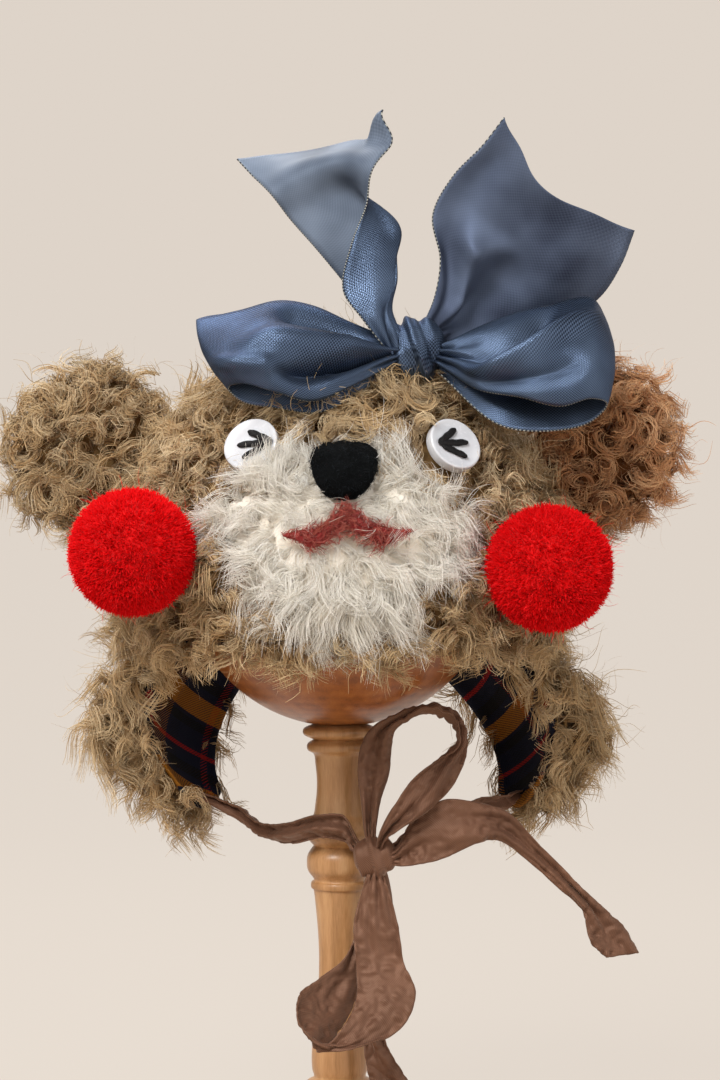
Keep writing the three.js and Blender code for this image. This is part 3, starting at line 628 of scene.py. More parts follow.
@dataclass(frozen=True)
class RibbonFinish(Finish):
    """Woven ribbon, darker and lighter where its threads cross."""

    name: str
    deep: str
    light: str
    pitch: float
    roughness: float
    sheen_tint: str
    sheen: float = 0.5
    satin: float = 0.0
    weave: float = 0.4
    sheer: float = 0.0
    rim: str = "c2a896"
    thread: float = 0.45

    def dress(self, nodes: Nodes, shader: bpy.types.Node) -> bpy.types.NodeSocket:
        """Weave the threads along the ribbon's own map.

        Args:
            nodes: the material's tree.
            shader: its shader.

        Returns:
            The colour of the light let through.
        """
        across, along = nodes.cloth()
        weave = nodes.group("weave", Across=across, Along=along, Pitch=self.pitch)
        over = nodes.math("MULTIPLY", weave["Over"], self.thread)
        drift = nodes.noise(nodes.place(), 60.0, 2.0)
        share = nodes.math("MULTIPLY_ADD", drift, 1 - self.thread, over)
        colour = nodes.ramp(share, [(0.2, self.deep), (0.75, self.light)])
        nodes.fill(
            shader,
            Base_Color=colour,
            Roughness=self.roughness,
            Metallic=self.satin,
            Anisotropic=0.5,
            Tangent=nodes.add("ShaderNodeTangent", direction_type="UV_MAP", uv_map="cloth").outputs[0],
            Sheen_Weight=self.sheen,
            Sheen_Roughness=0.4,
            Sheen_Tint=linear(self.sheen_tint),
            Specular_IOR_Level=1.0,
            Specular_Tint=linear(self.rim),
            Normal=nodes.bump(weave["Height"], self.weave, 0.00015),
        )
        return colour


@dataclass(frozen=True)
class StitchedEdgeFinish(Finish):
    """The ribbon's dark edge with pale stitches."""

    name: str
    dark: str
    pale: str
    pitch: float

    def dress(self, nodes: Nodes, shader: bpy.types.Node) -> None:
        """Repeat a pale stitch along the edge.

        Args:
            nodes: the material's tree.
            shader: its shader.
        """
        share = nodes.math("FRACT", nodes.math("DIVIDE", nodes.cloth()[1], self.pitch))
        stops = [(0.0, self.dark), (0.5, self.dark), (0.62, self.pale), (0.85, self.pale)]
        nodes.fill(shader, Base_Color=nodes.ramp(share, stops), Roughness=0.8)


@dataclass(frozen=True)
class TartanFinish(Finish):
    """A woven check of navy, black, ochre and red."""

    name: str
    repeat: float
    navy: str = "0d1226"
    black: str = "08080c"
    ochre: str = "8c5c1c"
    red: str = "86171b"

    def dress(self, nodes: Nodes, shader: bpy.types.Node) -> None:
        """Cross two sets of stripes, and weave them over and under.

        Args:
            nodes: the material's tree.
            shader: its shader.
        """
        across, along = nodes.cloth()
        layers = []
        for place, repeat in ((across, self.repeat), (along, self.repeat * 1.5)):
            stripes = nodes.group("stripes", Place=place, Repeat=repeat)
            colour = linear(self.navy)
            for name, tint in (("Black", self.black), ("Ochre", self.ochre), ("Red", self.red)):
                colour = nodes.mix(stripes[name], colour, linear(tint))
            layers.append(colour)
        twill = nodes.math("FRACT", nodes.math("DIVIDE", nodes.math("ADD", across, along), 0.9))
        over = nodes.math("GREATER_THAN", twill, 0.76)
        weave = nodes.group("weave", Across=across, Along=along, Pitch=0.45)
        nodes.fill(
            shader,
            Base_Color=nodes.mix(over, *layers),
            Roughness=0.9,
            Specular_IOR_Level=0.2,
            Normal=nodes.bump(weave["Height"], 0.6, 0.0002),
        )


@dataclass(frozen=True)
class ButtonFinish(Finish):
    """Glossy white button, a little pearly and scuffed."""

    name: str = "button white"

    def dress(self, nodes: Nodes, shader: bpy.types.Node) -> None:
        """Cloud the white, and scuff the gloss.

        Args:
            nodes: the material's tree.
            shader: its shader.
        """
        place = nodes.place()
        nodes.fill(
            shader,
            Base_Color=nodes.ramp(nodes.noise(place, 160.0, 3.0), [(0.3, "c3c6ce"), (0.7, "d6d9e0")]),
            Roughness=nodes.math("MULTIPLY_ADD", nodes.noise(place, 700.0, 4.0), 0.25, 0.12),
            Coat_Weight=0.3,
            Subsurface_Weight=0.08,
            Subsurface_Radius=(0.002, 0.002, 0.002),
        )


@dataclass(frozen=True)
class ThreadFinish(Finish):
    """Twisted thread of one dark colour with lighter fuzz."""

    name: str
    dark: str
    light: str

    def dress(self, nodes: Nodes, shader: bpy.types.Node) -> None:
        """Mottle the colour and the surface with fine noise.

        Args:
            nodes: the material's tree.
            shader: its shader.
        """
        fibre = nodes.noise(nodes.place(), 1500.0, 5.0)
        nodes.fill(
            shader,
            Base_Color=nodes.ramp(fibre, [(0.35, self.dark), (0.75, self.light)]),
            Roughness=0.6,
            Specular_IOR_Level=0.25,
            Normal=nodes.bump(fibre, 0.7, 0.0004),
        )


@dataclass(frozen=True)
class BackdropFinish(Finish):
    """The plain pale floor and wall."""

    name: str = "pale backdrop"
    colour: str = "b9a996"
    light: str = "c2b3a1"
    shaded: str = "504d48"
    seen: str = "efe4d9"
    glow: float = 0.79

    def dress(self, nodes: Nodes, shader: bpy.types.Node) -> None:
        """Let the camera see an even colour that still keeps shadows.

        Args:
            nodes: the material's tree.
            shader: its shader.
        """
        tone = nodes.ramp(nodes.noise(nodes.place(), 1.5, 1.0), [(0.3, self.colour), (0.7, self.light)])
        seen = nodes.backdrop_rays()
        nodes.fill(
            shader,
            Base_Color=nodes.mix(seen, tone, linear(self.shaded)),
            Roughness=1.0,
            Specular_IOR_Level=0.0,
            Emission_Color=linear(self.seen),
            Emission_Strength=nodes.math("MULTIPLY", seen, self.glow),
        )


FINISHES: dict[str, Finish] = {
    finish.name: finish
    for finish in (
        WoodFinish("ball wood", "6e3b16", "925322", "a66830", roughness=0.38, coat=0.3),
        WoodFinish("post wood", "926638", "b7885a", "cda274", roughness=0.42),
        PileFinish("tan pile", "5e3b1d", "b08b59", "dabd90", "e7d3b0", sheer=0.22),
        # A warmer, darker copy of the tan pile for the right ear: painted shade.
        PileFinish("rust pile", "653b17", "c48250", "e3ac78", "edc69a", sheer=0.22),
        PileFinish("cream pile", "ded7ca", "ede9e0", "f5f3ee", "fbfbf9", shades=0.9, sheer=0.42),
        PileFinish(
            "red pile", "c4050a", "dc080e", "f00e14", "fa3036", 0.0, shades=0.9, gloss=0.03, sheer=0.4
        ),
        PileFinish("black pile", "030405", "06080a", "0c0f12", "22282e", 0.0, gloss=0.08, sheer=0.0),
        PileFinish("raspberry pile", "761b1a", "9c3331", "b04a42", "c87460", sheer=0.2),
        GroundFinish("tan ground", "5a4226", "8a6d45"),
        # A warmer, darker copy of the tan ground for the right ear: painted shade.
        GroundFinish("rust ground", "48290f", "7c5029"),
        GroundFinish("cream ground", "e4dccf", "f4efe6"),
        GroundFinish("red ground", "b8060a", "e20c11"),
        GroundFinish("black felt", "030405", "090b0d", 0.08),
        GroundFinish("raspberry felt", "74191b", "963432"),
        RibbonFinish(
            "blue ribbon", "0a0e1c", "627592", 0.42, 0.31, "94a4bc", 0.08, 0.75, 0.4, 0.01, "485470"
        ),
        RibbonFinish(
            "blue ribbon back", "374152", "8391a6", 0.42, 0.6, "b4bcc8", 0.1, 0.1, 0.04, 0.12, "808894", 0.12
        ),
        # A darker, duller copy of the blue ribbon, mottled by noise: painted shade for the right tail's face.
        RibbonFinish(
            "blue ribbon painted shade", "242837", "637089", 0.42, 0.55, "8490ac", 0.1, 0.3, 0.15, 0.05, "5c6884", 0.14
        ),
        RibbonFinish("brown ribbon", "41281c", "7b5846", 0.25, 0.5, "c2a896", 0.4, 0.15, 0.2),
        StitchedEdgeFinish("ribbon edge", "10151f", "9c9e98", 0.9),
        TartanFinish("tartan", 25.5),
        ButtonFinish(),
        ThreadFinish("black thread", "040406", "121115"),
        BackdropFinish(),
    )
}
GROUPS: dict[str, bpy.types.NodeTree] = {}
MATERIALS: dict[str, bpy.types.Material] = {}
FRAME: dict = {}


def dress(obj: bpy.types.Object, *finishes: str) -> bpy.types.Object:
    """Give an object its materials.

    Args:
        obj: the piece.
        finishes: the finishes' names.

    Returns:
        The same piece.
    """
    obj.data.materials.clear()
    for name in finishes:
        if name not in MATERIALS:
            MATERIALS[name] = FINISHES[name].build()
        obj.data.materials.append(MATERIALS[name])
    return obj


def settle(obj: bpy.types.Object, body: str | None, nodes: Sequence[str] = ()) -> None:
    """Give a finished piece its body and the CAD nodes it stands for.

    Args:
        obj: the piece.
        body: the CAD body that it rides on, or None for a piece that spans two bodies and is left on neither.
        nodes: the CAD nodes that it replaces.
    """
    if body:
        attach(obj, body)
    if nodes:
        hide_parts(*nodes)
    LOG.info("%s rides on %s, %d corners", obj.name, body or "two bodies", len(obj.data.vertices))


@dataclass(frozen=True)
class Head:
    """Sizes of the head and the bonnet's crown, read from the frame."""

    centre: float
    ball: float
    wide: float
    front: float
    back: float
    tall: float
    fall: float = 0.095

    @classmethod
    def from_frame(cls) -> Head:
        """Read the ball's and the crown's boxes.

        Returns:
            The head's sizes.
        """
        ball_low, ball_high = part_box("head_ball")
        crown_low, crown_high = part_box("hat_crown")
        radius = (ball_high.x - ball_low.x) / 2 / math.cos(math.pi / BALL_SIDES)
        centre = ball_high.z - radius
        return cls(centre, radius, crown_high.x, -crown_low.y, crown_high.y, crown_high.z - centre)

    def size_at(self, points: np.ndarray, grow: float = 0.0) -> np.ndarray:
        """Say how far out from the crown's middle points lie, 1 on its skin.

        Args:
            points: rows of x, y and z.
            grow: added to each half size.

        Returns:
            One value for each point.
        """
        x, y, z = points[..., 0], points[..., 1], points[..., 2] - self.centre
        depth = np.where(y < 0, self.front, self.back) + grow
        reach = np.where(z > 0, self.tall, self.fall) + grow
        return np.sqrt((x / (self.wide + grow)) ** 2 + (y / depth) ** 2 + (z / reach) ** 2)

    def seat(self, x: float, z: float) -> np.ndarray:
        """Find a place on the crown's front.

        Args:
            x: across.
            z: up, from the ball's centre.

        Returns:
            The place.
        """
        reach = self.tall if z > 0 else self.fall
        depth = -self.front * math.sqrt(max(0.0, 1 - (x / self.wide) ** 2 - (z / reach) ** 2))
        return np.array([x, depth, z + self.centre])

    def outward(self, point: np.ndarray) -> np.ndarray:
        """Find the crown's outward direction at one of its places.

        Args:
            point: the place.

        Returns:
            The direction, of length 1.
        """
        depth = self.front if point[1] < 0 else self.back
        z = point[2] - self.centre
        reach = self.tall if z > 0 else self.fall
        return unit(np.array([point[0] / self.wide**2, point[1] / depth**2, z / reach**2]))

    def clear(self, points: np.ndarray, gap: float) -> np.ndarray:
        """Push points that lie inside the crown out to a gap from it.

        Args:
            points: rows of x, y and z.
            gap: the distance to keep.

        Returns:
            The points' new places.
        """
        middle = np.array([0.0, 0.0, self.centre])
        size = self.size_at(points, gap)[..., None]
        return np.where(size < 1, middle + (points - middle) / np.maximum(size, 1e-6), points)


@dataclass(frozen=True)
class Curl:
    """How the locks of one kind of pile grow. Lengths are in metres."""

    length: float
    radius: float
    turns: float
    strands: int
    spread: float
    width: float
    lift: float
    droop: float = 0.0
    steps: int = 9
    taper: float = 0.4
    bend: float = 0.3
    wild: float = 0.22


@dataclass
class Pile:
    """Strands of pile, each a narrow strip along its own path."""

    points: list[np.ndarray] = field(default_factory=list)
    tones: list[np.ndarray] = field(default_factory=list)

    def grow(
        self,
        roots: np.ndarray,
        outward: np.ndarray,
        flow: np.ndarray,
        curl: Curl,
        rng: np.random.Generator,
        scale: np.ndarray | float = 1.0,
    ) -> None:
        """Grow one lock of strands from each root.

        Args:
            roots: places on the ground.
            outward: the ground's directions there.
            flow: the way that each lock leans.
            curl: the kind of lock.
            rng: draws the differences between locks and strands.
            scale: makes each lock longer or shorter.
        """
        count = len(roots)
        if count == 0:
            return
        steps = curl.steps
        s = np.linspace(0, 1, steps + 1)[None, None, :, None]
        lock = (count, 1, 1, 1)
        each = (count, curl.strands, 1, 1)
        size = np.broadcast_to(scale, (count,)).reshape(lock)
        length = curl.length * size * rng.uniform(0.75, 1.3, lock)
        lean = unit(flow - outward * np.sum(flow * outward, -1, keepdims=True))
        lift = np.clip(rng.normal(curl.lift, curl.wild, (count, 1)), 0.12, 0.97)
        axis = unit(outward * lift + lean * (1 - lift))
        side = unit(np.cross(axis, outward + lean * 0.3))
        rise = np.cross(side, axis)
        axis, side, rise, out = (v[:, None, None, :] for v in (axis, side, rise, outward))
        turn = rng.uniform(0.75, 1.25, lock) * curl.turns * rng.choice([-1, 1], lock) * 2 * math.pi
        phase = rng.uniform(0, 2 * math.pi, lock) + rng.normal(0, 0.16, each)
        radius = curl.radius * np.sqrt(size) * rng.uniform(0.65, 1.35, lock) * (1 + rng.normal(0, 0.1, each))
        opening = smoothstep(s, 0.0, 0.25) * (1 - curl.taper * s)
        angle = phase + turn * s
        stray = rng.normal(0, curl.spread, (count, curl.strands, 3))[:, :, None, :]
        own_length = length * (1 + rng.normal(0, 0.1, each))
        sideways = rng.normal(0, curl.bend, lock) * length
        path = roots[:, None, None, :] + axis * own_length * s
        path = path + side * sideways * s**2 - out * length * 0.15 * s**2
        path = path + radius * opening * (np.cos(angle) * side + np.sin(angle) * rise)
        path = path + stray * (0.5 + 0.5 * s) * np.minimum(1, s * 5)
        path[..., 2] -= (curl.droop * length * s**1.6)[..., 0]
        tone = rng.uniform(0, 1, lock) * 0.6 + rng.uniform(0, 0.4, each)
        shade = rng.uniform(0, 1, lock) * 0.7 + rng.uniform(0, 0.3, each)
        flat = path.reshape(-1, steps + 1, 3)
        width = curl.width * rng.uniform(0.7, 1.3, len(flat))
        self.strips(flat, width, tone.ravel(), shade.ravel(), rng)

    def strips(
        self,
        paths: np.ndarray,
        widths: np.ndarray,
        tone: np.ndarray,
        shade: np.ndarray,
        rng: np.random.Generator,
    ) -> None:
        """Lay a narrow strip along each path.

        Args:
            paths: strands by steps by x, y and z.
            widths: each strand's width.
            tone: how pale each strand is.
            shade: how bright each strand is.
            rng: turns each strip its own way.
        """
        along = unit(np.gradient(paths, axis=1))
        across = unit(np.cross(along[:, 0], rng.normal(0, 1, (len(paths), 3))))
        steps = paths.shape[1]
        edges = np.empty((*paths.shape[:2], 2, 3), np.float32)
        for i in range(steps):
            across = unit(across - along[:, i] * np.sum(across * along[:, i], -1, keepdims=True))
            share = i / (steps - 1)
            reach = across * (widths[:, None] / 2) * (1 - 0.7 * share**2.5)
            edges[:, i, 0] = paths[:, i] - reach
            edges[:, i, 1] = paths[:, i] + reach
        self.points.append(edges)
        share = np.broadcast_to(np.linspace(0, 1, steps)[None, :, None], edges.shape[:3])
        parts = [np.broadcast_to(v[:, None, None], edges.shape[:3]) for v in (tone, shade)]
        self.tones.append(np.stack([parts[0], share, parts[1], np.ones_like(share)], -1))

    def lay(self, name: str, finish: str, body: str) -> None:
        """Turn the strands into a finished piece with the pile's colours.

        Args:
            name: the piece's name.
            finish: the finish's name.
            body: the CAD body that it rides on.
        """
        quads = []
        start = 0
        for edges in self.points:
            strands, steps = edges.shape[:2]
            base = start + (np.arange(strands) * steps * 2)[:, None] + np.arange(steps - 1)[None, :] * 2
            quads.append(np.stack([base, base + 1, base + 3, base + 2], -1).reshape(-1, 4))
            start += edges.size // 3
        points = np.concatenate([edges.reshape(-1, 3) for edges in self.points])
        obj = mesh_object(name, points, np.concatenate(quads))
        layer = obj.data.attributes.new("pile", "FLOAT_COLOR", "POINT")
        colours = np.concatenate([tones.reshape(-1, 4) for tones in self.tones])
        layer.data.foreach_set("color", colours.astype(np.float32).ravel())
        settle(dress(obj, finish), body)


class Ground:
    """The skin that pile grows from: a CAD solid's skin, sunk by part of the pile's depth."""

    def __init__(self, node: str, name: str, depth: float, cuts: int, grain: float = 0.0006) -> None:
        """Sink a smoothed copy of the solid.

        Args:
            node: the CAD node.
            name: the copy's name.
            depth: how far the ground lies under the solid's skin, at most.
            cuts: how often each edge is divided.
            grain: the height of the ground's lumps.
        """
        self.obj = merged_copy(node, name)
        subdivide(self.obj, cuts)
        self.skin = points_of(self.obj)
        self.facing = points_of(self.obj, "normal")
        tree = BVHTree.FromObject(self.obj, bpy.context.evaluated_depsgraph_get())
        self.sink = np.empty(len(self.skin))
        for i, (point, normal) in enumerate(zip(self.skin, self.facing)):
            hit = tree.ray_cast(Vector(point - normal * 0.0001), Vector(-normal))
            thickness = hit[3] if hit[0] is not None else depth
            self.sink[i] = min(depth, 0.4 * thickness)
        lumps = wobble(self.skin, 300.0, 3.1) * grain
        sunk = self.sink - lumps * (self.sink > grain * 2)
        set_points(self.obj, self.skin - self.facing * sunk[:, None])
        smooth(self.obj)

    def scatter(
        self, spacing: float, keep: Callable[[np.ndarray, np.ndarray], np.ndarray], rng: np.random.Generator
    ) -> tuple[np.ndarray, np.ndarray]:
        """Choose evenly spread places on the ground.

        Args:
            spacing: the least distance between two places.
            keep: says which places may grow, from the skin's places and directions.
            rng: draws the places.

        Returns:
            The places and the ground's directions there.
        """
        mesh = self.obj.data
        mesh.calc_loop_triangles()
        flat = np.empty(len(mesh.loop_triangles) * 3, np.int32)
        mesh.loop_triangles.foreach_get("vertices", flat)
        corners = flat.reshape(-1, 3)
        skin = self.skin[corners]
        area = np.linalg.norm(np.cross(skin[:, 1] - skin[:, 0], skin[:, 2] - skin[:, 0]), axis=1) / 2
        tries = int(area.sum() / spacing**2 * 7)
        chosen = rng.choice(len(corners), tries, p=area / area.sum())
        a, b = rng.uniform(0, 1, (2, tries))
        flip = a + b > 1
        a, b = np.where(flip, 1 - a, a), np.where(flip, 1 - b, b)
        weights = np.stack([1 - a - b, a, b], 1)[:, :, None]
        place = (skin[chosen] * weights).sum(1)
        facing = unit((self.facing[corners[chosen]] * weights).sum(1))
        sink = (self.sink[corners[chosen]] * weights[:, :, 0]).sum(1)
        allowed = keep(place, facing)
        cells: dict[tuple[int, int, int], list[int]] = {}
        kept = []
        for i in np.nonzero(allowed)[0]:
            cell = tuple((place[i] // spacing).astype(int))
            around = product(*((c - 1, c, c + 1) for c in cell))
            near = (j for other in around for j in cells.get(other, ()))
            if all(np.sum((place[i] - place[j]) ** 2) > spacing**2 for j in near):
                cells.setdefault(cell, []).append(i)
                kept.append(i)
        return place[kept] - facing[kept] * sink[kept, None], facing[kept]


def random_flow(
    facing: np.ndarray, rng: np.random.Generator, bias: Sequence[float] = (0, 0, 0)
) -> np.ndarray:
    """Draw a way to lean for each lock, with a common bias."""
    return rng.normal(0, 1, facing.shape) + bias


@dataclass(frozen=True)
class Stand:
    """The turned base, post and ball."""

    sides: int = 96
    socket: float = 0.006
    foot: float = 0.0141
    neck: float = 0.0091

    def profile(self, node: str) -> list[Pair]:
        """Read a turned solid's profile as pairs of radius and height.

        Args:
            node: the CAD node.

        Returns:
            The profile in rising order of height, the widest point at each.
        """
        widest: dict[float, float] = {}
        for vertex in FRAME["nodes"][node].data.vertices:
            height = round(vertex.co.z, 6)
            widest[height] = max(widest.get(height, 0.0), math.hypot(vertex.co.x, vertex.co.y))
        return [(widest[height], height) for height in sorted(widest)]

    def spin(self, name: str, profile: Sequence[Pair]) -> bpy.types.Object:
        """Turn a profile about the upright axis.

        Args:
            name: the piece's name.
            profile: pairs of radius and height that start and end on the axis.

        Returns:
            The turned piece.
        """
        mesh = bpy.data.meshes.new(name)
        corners = [(radius, 0.0, height) for radius, height in profile]
        mesh.from_pydata(corners, [(i, i + 1) for i in range(len(corners) - 1)], [])
        obj = linked(name, mesh)
        select_only(obj)
        bpy.ops.object.mode_set(mode="EDIT")
        bpy.ops.mesh.select_all(action="SELECT")
        bpy.ops.mesh.spin(steps=self.sides, angle=2 * math.pi, center=(0, 0, 0), axis=(0, 0, 1))
        bpy.ops.mesh.select_all(action="SELECT")
        bpy.ops.mesh.remove_doubles(threshold=0.00002)
        bpy.ops.mesh.normals_make_consistent(inside=False)
        bpy.ops.object.mode_set(mode="OBJECT")
        smooth(obj, 40)
        return obj

    def curve(self, points: Sequence[Pair], fine: int, sharp: float) -> list[Pair]:
        """Round a profile between its points, and keep its sharp steps.

        Args:
            points: pairs of radius and height.
            fine: new points between two old ones.
            sharp: a change of direction, in degrees, that stays a corner.

        Returns:
            The finer profile.
        """
        rows = np.array(points)
        ahead = np.diff(rows, axis=0)
        angle = np.degrees(np.arctan2(ahead[:, 1], ahead[:, 0]))
        result = [tuple(rows[0])]
        for i in range(len(rows) - 1):
            before = rows[i - 1] if i > 0 and abs(angle[i] - angle[i - 1]) < sharp else rows[i]
            last = i + 2 >= len(rows) or abs(angle[i + 1] - angle[i]) >= sharp
            after = rows[i + 1] if last else rows[i + 2]
            for k in range(1, fine + 1):
                t = k / fine
                a, b = rows[i], rows[i + 1]
                slope_a, slope_b = (b - before) / 2, (after - a) / 2
                rise = 3 * t**2 - 2 * t**3
                h = np.array([1 - rise, t**3 - 2 * t**2 + t, rise, t**3 - t**2])
                point = h[0] * a + h[1] * slope_a + h[2] * b + h[3] * slope_b
                lowest, highest = sorted((a[1], b[1]))
                result.append((float(max(point[0], 0.0)), float(np.clip(point[1], lowest, highest))))
        return result

    def build(self, head: Head) -> None:
        """Make the three turned pieces.

        Args:
            head: the head's sizes.
        """
        base = [(0.0, 0.0), *((r, z) for r, z in self.profile("stand_base") if r > self.socket)]
        rim = self.curve(base, fine=4, sharp=50)
        seat = head.centre - math.sqrt(head.ball**2 - self.neck**2)
        post = [(r, z) for r, z in self.profile("stand_post") if self.foot < z < seat]
        start = math.acos((head.centre - seat) / head.ball)
        steps = 48
        arc = [start + (math.pi - start) * i / steps for i in range(steps)]
        ball = [(head.ball * math.sin(a), head.centre - head.ball * math.cos(a)) for a in arc]
        profiles = {
            "base": [*rim, (0.0, rim[-1][1])],
            "post": [(0.0, post[0][1]), *self.curve(post, fine=5, sharp=75), (0.0, post[-1][1])],
            "ball": [(0.0, seat), *ball, (0.0, head.centre + head.ball)],
        }
        for name, body, wood, node in (
            ("base", "stand", "post", "stand_base"),
            ("post", "stand", "post", "stand_post"),
            ("ball", "display_ball", "ball", "head_ball"),
        ):
            piece = dress(self.spin(f"turned_{name}", profiles[name]), f"{wood} wood")
            settle(piece, body, [node])


def cloth_map(obj: bpy.types.Object, place: Callable[[np.ndarray], np.ndarray]) -> None:
    """Give a mesh a map in millimetres along its cloth.

    Args:
        obj: the mesh object.
        place: turns rows of x, y, z into rows of across and along.
    """
    mesh = obj.data
    while mesh.uv_layers:
        mesh.uv_layers.remove(mesh.uv_layers[0])
    layer = mesh.uv_layers.new(name="cloth")
    corner = np.empty(len(mesh.loops), np.int32)
    mesh.loops.foreach_get("vertex_index", corner)
    layer.data.foreach_set("uv", place(points_of(obj))[corner].ravel())


@dataclass(frozen=True)
class Cut:
    """How one lining is cut from the tartan, and what holds it."""

    body: str
    backing: str
    slant: float
    across_mm: float
    along_mm: float
    flat: Pair
    area: float
    radius_mm: float = 45.5

    def around(self, points: np.ndarray) -> np.ndarray:
        """Unroll places round the head, and turn them to the bias.

        Args:
            points: rows of x, y and z.

        Returns:
            Rows of across and along, in millimetres.
        """
        turn = np.abs(np.arctan2(points[:, 0], -points[:, 1])) * self.radius_mm
        height = points[:, 2] / MM
        bias = math.radians(self.slant)
        across = turn * math.cos(bias) + height * math.sin(bias) + self.across_mm
        along = height * math.cos(bias) - turn * math.sin(bias) + self.along_mm
        return np.stack([across, along], 1)

    def line(self, node: str) -> None:
        """Smooth, map and dress the lining of a CAD node.

        Args:
            node: the lining's CAD node.
        """
        piece = merged_copy(node, f"tartan_{node}")
        subdivide(piece, 2)
        smooth(piece, 50)
        cloth_map(piece, self.around)
        settle(dress(piece, "tartan"), self.body, [node])


LINING_CUTS = {
    "hat_lining": Cut("bonnet", "hat_crown", -120, 170.5, -1.8, (0.2, 0.12), 0.019),
    "left_flap_lining": Cut("left_flap_body", "left_flap", -120, 170.5, -1.8, (0.045, 0.055), 0.0022),
    "right_flap_lining": Cut("right_flap_body", "right_flap", -130, 165.2, 3.8, (0.045, 0.055), 0.0022),
}


MOUTH_LINE = np.column_stack(
    [[-13.4, -10, -5.6, -1, 2, 6, 10.6, 14.6, 18.2], [9.2, 9, 8.4, 11.4, 13.4, 11.6, 9, 9.4, 10.4]]
) * MM
MOUTH_MIDDLE = 0.0024
MOUTH_NOTCH = 0.0018
NOSE_PLACE = np.array([1.5, 24.8]) * MM
NOSE_HALF = np.array([8.6, 7.6]) * MM
EYE_PLACES = {"left": (-0.0211, 0.0308), "right": (0.0282, 0.031)}
EYE_RADIUS = 0.0072
EYE_THICKNESS = 0.0028
MUZZLE_MIDDLE = np.array([0.4, 5.5]) * MM
MUZZLE_HALF = np.array([36, 26]) * MM
MUZZLE_EDGE = np.array(
    [(-14, -4, 14), (-10, -12, 18), (-4, -21, 20), (3, -22, 29), (9, -28, 36), (13, -34, 38), (40, -38, 40)]
) * MM


def cream_at(x: np.ndarray, z: np.ndarray) -> np.ndarray:
    """Say where the muzzle's cream plush shows, and not the tan fringe round it."""
    height, left, right = MUZZLE_EDGE.T
    return (z > height[0]) & (x > np.interp(z, height, left)) & (x < np.interp(z, height, right))


def distance_to_mouth(x: np.ndarray, z: np.ndarray) -> np.ndarray:
    """Measure how far places lie from the mouth's line, in the face's plane.

    Args:
        x: places across.
        z: places up, from the ball's centre.

    Returns:
        One distance for each place.
    """
    best = np.full(x.shape, 1.0)
    place = np.stack([x, z], -1)
    for a, b in zip(MOUTH_LINE[:-1], MOUTH_LINE[1:]):
        span = b - a
        share = np.clip(((place - a) @ span) / (span @ span), 0, 1)[..., None]
        best = np.minimum(best, np.linalg.norm(place - a - share * span, axis=-1))
    return best


def muzzle_share(x: np.ndarray, z: np.ndarray) -> np.ndarray:
    """Say how far out from the muzzle's middle places lie, 1 at its outline.

    Args:
        x: places across.
        z: places up, from the ball's centre.

    Returns:
        One share for each place.
    """
    up = np.clip((z - MUZZLE_MIDDLE[1]) / MUZZLE_HALF[1], -3, 3)
    narrow = np.where(up > 0, np.maximum(1 - 0.57 * np.clip(up, 0, 1) ** 1.5, 0.2), 1.0)
    side = np.abs(x - MUZZLE_MIDDLE[0]) / (MUZZLE_HALF[0] * narrow)
    return (np.abs(up) ** 2.3 + side**2.3) ** (1 / 2.3)


